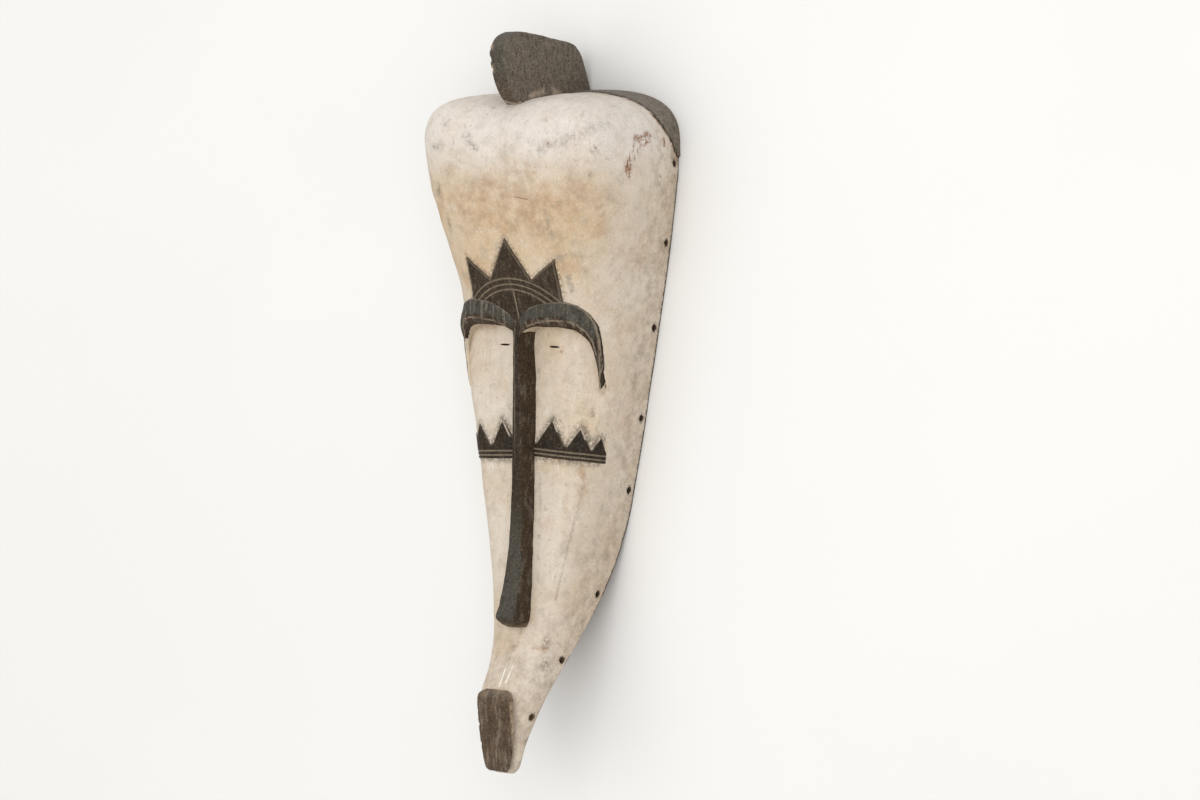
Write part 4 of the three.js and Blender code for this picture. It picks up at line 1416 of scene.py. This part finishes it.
class CarveCheekRows(bpy.types.Operator):
    """Carve the row of dark points on each cheek, over two cut lines"""

    bl_idname = "mesh.mask_cheek_rows"
    bl_label = "Cheek rows"

    def execute(self, context):
        relief = context.scene.mask_sizes.band_relief / MM
        top_w, top_y = np.array(CHEEK_TOP, float).T
        foot_w, foot_y = np.array(CHEEK_FOOT, float).T
        ways = spaced(top_w, [max(2, round(gap / 0.8)) for gap in np.diff(top_w)])
        v = np.linspace(0, 1, 40)
        way, share = np.meshgrid(ways, v)
        y = np.interp(way, foot_w, foot_y) * (1 - share) + np.interp(way, top_w, top_y) * share
        in_from_edge = to_line(way, y, CHEEK_TOP).ravel()
        in_from_foot = to_line(way, y, CHEEK_FOOT).ravel()
        relief = relief * ramp(-0.3, 1.3, in_from_edge) * ramp(-0.3, 1.3, in_from_foot)
        relief -= 0.5 * self.groove(way.ravel(), y.ravel())
        for side, name, lift in ((1, "cheek_row_right", RIGHT_ROW_LIFT), (-1, "cheek_row_left", 0)):
            place, out = round_cheek(way.ravel(), y.ravel() + lift, side)
            height = relief + rough(place, 7, 61) * 0.12
            points = place + out * height[:, None]
            row = patch(name, points.reshape(*way.shape, 3), 3.0)
            dark_wood(row, 55)
            self.paint(row, way.ravel(), y.ravel(), in_from_edge, in_from_foot)
            belongs(row)
        return {"FINISHED"}

    def groove(self, way, y):
        low = np.interp(way, *np.array(CHEEK_FOOT, float).T)
        off = np.minimum(np.abs(y - low - 3.2), np.abs(y - low - 7.2))
        return ramp(1.0, 0.25, off)

    def paint(self, row, way, y, from_edge, from_foot):
        count = len(row.data.vertices)

        def pad(values):
            return np.concatenate([values, values])[:count]

        cut = pad(self.groove(way, y))
        rim = pad(ramp(1.8, 0.4, np.minimum(from_edge, from_foot)))
        lines = [ramp(1.2, 0.4, to_line(way, y, line)) for line in ROW_LINES[row.name]]
        light = pad(np.maximum.reduce(lines))
        cut = 0.75 * cut * (1 - rim) * (1 - light)
        paint_dark(row, rubbed=0.2 * rim, cut=cut, chalk=1.1 * light, grey=0.3)


class CarveMouth(bpy.types.Operator):
    """Carve the raised dark mouth on the chin"""

    bl_idname = "mesh.mask_mouth"
    bl_label = "Mouth"

    def execute(self, context):
        relief = context.scene.mask_sizes.mouth_relief / MM
        low, high = MOUTH_HALF[0][0], MOUTH_HALF[-1][0]
        v = np.linspace(low, high, 110)
        half = smooth(MOUTH_HALF)(v)
        nick = sum(d * np.exp(-((v - at) / 1.6) ** 2) for at, d in MOUTH_NICKS)
        u = np.linspace(-1, 1, 72)
        uu, yy = np.meshgrid(u, v)
        x = uu * half[:, None] + np.where(uu < -0.6, 1, 0) * nick[:, None] * (-uu - 0.6) / 0.4
        stations = np.linspace(0, 9, 90)
        raised = tree_of(np.array([whole_section(k, False, relief) for k in stations]))
        z = laid(x.ravel(), yy.ravel(), raised).reshape(x.shape)
        from_side = (1 - np.abs(uu)) * half[:, None]
        height = -relief * (1 - np.minimum.reduce([
            0.8 + 0.2 * ramp(0, 1.6, from_side), 0.35 + 0.65 * ramp(0, 7.5, high - yy),
            0.6 + 0.4 * ramp(0, 2.5, yy - low),
        ]))
        height += 0.5 * np.exp(-((x + 0.5) / 1.3) ** 2) * ramp(high - 4, high - 10, yy)
        flat = np.stack([x, yy, z], -1).reshape(-1, 3)
        height += lumpy(flat, ((8, 71, 0.3), (3, 72, 0.1))).reshape(x.shape)
        mouth = patch("mouth", np.stack([x, yy, z + height], -1), 8.0)
        dark_wood(mouth, 55)
        p = table_points(mouth)
        px, py = p[:, 0], p[:, 1]
        top = ramp(-279, -274, py)
        right = ramp(17.5, 20, px) * ramp(-338, -324, py) * ramp(-276, -284, py)
        paint_dark(
            mouth, tone=-1.0 + 0.3 * top, bare=0.55 * right, chalk=0.03 + 0.2 * streaks(p, 3.0, 73),
            rubbed=0.12 + 0.4 * ramp(0.1, 0.4, bulge(mouth)) + 0.25 * top,
        )
        belongs(mouth)
        return {"FINISHED"}


# Stage


def view_axes():
    """Right, up and backward directions of the camera."""
    c, n = math.cos(LEAN), math.sin(LEAN)
    right_hand, upward = Vector((c, n, 0)), Vector((-n, c, 0))
    out = Vector((0, 0, 1))
    aside = math.sin(YAW) * right_hand + math.cos(YAW) * out
    right = math.cos(YAW) * right_hand - math.sin(YAW) * out
    up = math.cos(TILT) * upward - math.sin(TILT) * aside
    back = math.cos(TILT) * aside + math.sin(TILT) * upward
    return right, up, back


class SetStage(bpy.types.Operator):
    """Add the plain pale floor, the soft lights and the camera"""

    bl_idname = "scene.mask_stage"
    bl_label = "Stage"

    def execute(self, context):
        looks = context.scene.mask_looks
        right, up, back = view_axes()
        centre = Vector((0, MIDDLE * MM, 0))
        bpy.ops.object.select_all(action="DESELECT")
        bpy.ops.mesh.primitive_plane_add(size=14, location=(0, 0, -0.0004))
        floor = bpy.context.object
        floor.name = floor.data.name = "floor"
        bpy.ops.object.transform_apply(location=True, rotation=False, scale=False)
        dress(floor, plain("Pale floor", tuple(looks.floor), 0.9))

        camera_data = bpy.data.cameras.new("camera")
        camera_data.lens, camera_data.sensor_width = LENS, SENSOR
        camera_data.clip_end = 50
        camera = bpy.data.objects.new("camera", camera_data)
        context.scene.collection.objects.link(camera)
        at = centre + VIEW_ASIDE[0] * right + VIEW_ASIDE[1] * up + VIEW_DISTANCE * back
        turn = Matrix((right, up, back)).transposed().to_4x4()
        camera.matrix_world = Matrix.Translation(at) @ turn
        context.scene.camera = camera

        for name, (a, b, c), width, tint in LIGHTS:
            place = a * right + b * up + c * back
            light_data = bpy.data.lights.new(name, "AREA")
            light_data.shape, light_data.size = "SQUARE", width
            light_data.energy, light_data.color = getattr(looks, name + "_power"), tint
            light = bpy.data.objects.new(name, light_data)
            context.scene.collection.objects.link(light)
            turn = place.to_track_quat("Z", "Y").to_matrix().to_4x4()
            light.matrix_world = Matrix.Translation(centre + place) @ turn

        world = bpy.data.worlds.new("soft white")
        world.use_nodes = True
        world.node_tree.nodes["Background"].inputs["Color"].default_value = (1.0, 1.0, 0.99, 1)
        world.node_tree.nodes["Background"].inputs["Strength"].default_value = looks.sky
        context.scene.world = world
        context.scene.view_settings.view_transform = "Standard"
        context.scene.view_settings.look = "None"
        return {"FINISHED"}


# Settings and panel


def size(name, description, default, low, high):
    return bpy.props.FloatProperty(
        name=name, description=description, default=default, min=low, max=high,
        subtype="DISTANCE", unit="LENGTH",
    )


def colour(name, description, default):
    return bpy.props.FloatVectorProperty(
        name=name, description=description, default=default, min=0, max=1, size=3, subtype="COLOR",
    )


def power(name, description, default):
    return bpy.props.FloatProperty(
        name=name, description=description, default=default, min=0, max=2000, unit="POWER",
    )


class MaskSizes(bpy.types.PropertyGroup):
    hole_width: size("Rim holes", "Width of the holes along the rim", 0.0062, 0.003, 0.012)
    slit_long: size("Slit length", "Length of an eye slit", 0.0115, 0.004, 0.03)
    slit_high: size("Slit height", "Height of an eye slit", 0.0019, 0.001, 0.01)
    brow_rise: size(
        "Brow rise", "How far the edge of a brow stands in front of the forehead",
        0.006, 0.001, 0.012,
    )
    band_relief: size(
        "Band relief", "How far the crown and the cheek rows stand off the face",
        0.0014, 0.0005, 0.004,
    )
    mouth_relief: size(
        "Mouth relief", "How far the mouth stands off the chin", 0.0075, 0.002, 0.012
    )
    crest_thickness: size("Crest thickness", "Thickness of the crest", 0.0165, 0.01, 0.025)
    unevenness: bpy.props.FloatProperty(
        name="Hand marks", description="Strength of the unevenness left by the tools",
        default=1.0, min=0, max=3,
    )


class MaskLooks(bpy.types.PropertyGroup):
    white_cool: colour("Cool earth", "Cooler tone of the white earth", (0.68, 0.61, 0.53))
    white_warm: colour("Warm earth", "Warmer tone of the white earth", (0.62, 0.53, 0.42))
    # The pale earth of the dome also carries painted light from above.
    pale: colour("Pale earth", "Tone of the earth on the dome", (0.72, 0.66, 0.61))
    cream: colour("Cream", "Tone of the earth on the forehead", (0.60, 0.455, 0.30))
    dark: colour("Dark paint", "Tone of the dark paint", (0.035, 0.026, 0.017))
    # The greyer tone of the dark paint, also used as painted sheen on faces toward the light.
    slate_and_sheen: colour("Slate", "Tone of the dark paint where it is greyer", (0.058, 0.055, 0.044))
    umber: colour("Umber", "Tone of the dark paint where it is browner", (0.058, 0.036, 0.020))
    wood: colour("Wood", "Tone of the bare wood", (0.30, 0.185, 0.105))
    floor: colour("Floor", "Tone of the floor", (0.835, 0.83, 0.815))
    key_power: power("Key light", "Power of the large light in front of the face", 44.0)
    side_power: power("Side light", "Power of the light from the left", 17.0)
    top_power: power("Top light", "Power of the light from above the crest", 5.0)
    sky: bpy.props.FloatProperty(
        name="Room light", description="Strength of the light all round",
        default=0.66, min=0, max=5,
    )


class MaskPanel(bpy.types.Panel):
    """Pieces of the mask and its stage"""

    bl_idname = "VIEW3D_PT_fang_mask"
    bl_label = "Fang mask"
    bl_space_type = "VIEW_3D"
    bl_region_type = "UI"
    bl_category = "Mask"

    def draw(self, context):
        for group in (context.scene.mask_sizes, context.scene.mask_looks):
            column = self.layout.column(align=True)
            for key in group.__annotations__:
                column.prop(group, key)
        column = self.layout.column(align=True)
        for step in STEPS:
            column.operator(step.bl_idname)


STEPS = (
    CarveFace, CarveBrows, CarveNose, CarveCrest, CarveCrown, CarveCheekRows, CarveMouth, SetStage,
)
CLASSES = (MaskSizes, MaskLooks, *STEPS, MaskPanel)


def register():
    for cls in CLASSES:
        bpy.utils.register_class(cls)
    bpy.types.Scene.mask_sizes = bpy.props.PointerProperty(type=MaskSizes)
    bpy.types.Scene.mask_looks = bpy.props.PointerProperty(type=MaskLooks)


def unregister():
    del bpy.types.Scene.mask_looks
    del bpy.types.Scene.mask_sizes
    for cls in reversed(CLASSES):
        bpy.utils.unregister_class(cls)


def main():
    """Makes all the pieces and the stage."""
    register()
    bpy.ops.mesh.mask_face()
    bpy.ops.mesh.mask_brows()
    bpy.ops.mesh.mask_nose()
    bpy.ops.mesh.mask_crest()
    bpy.ops.mesh.mask_crown()
    bpy.ops.mesh.mask_cheek_rows()
    bpy.ops.mesh.mask_mouth()
    bpy.ops.scene.mask_stage()


if __name__ == "__main__":
    main()
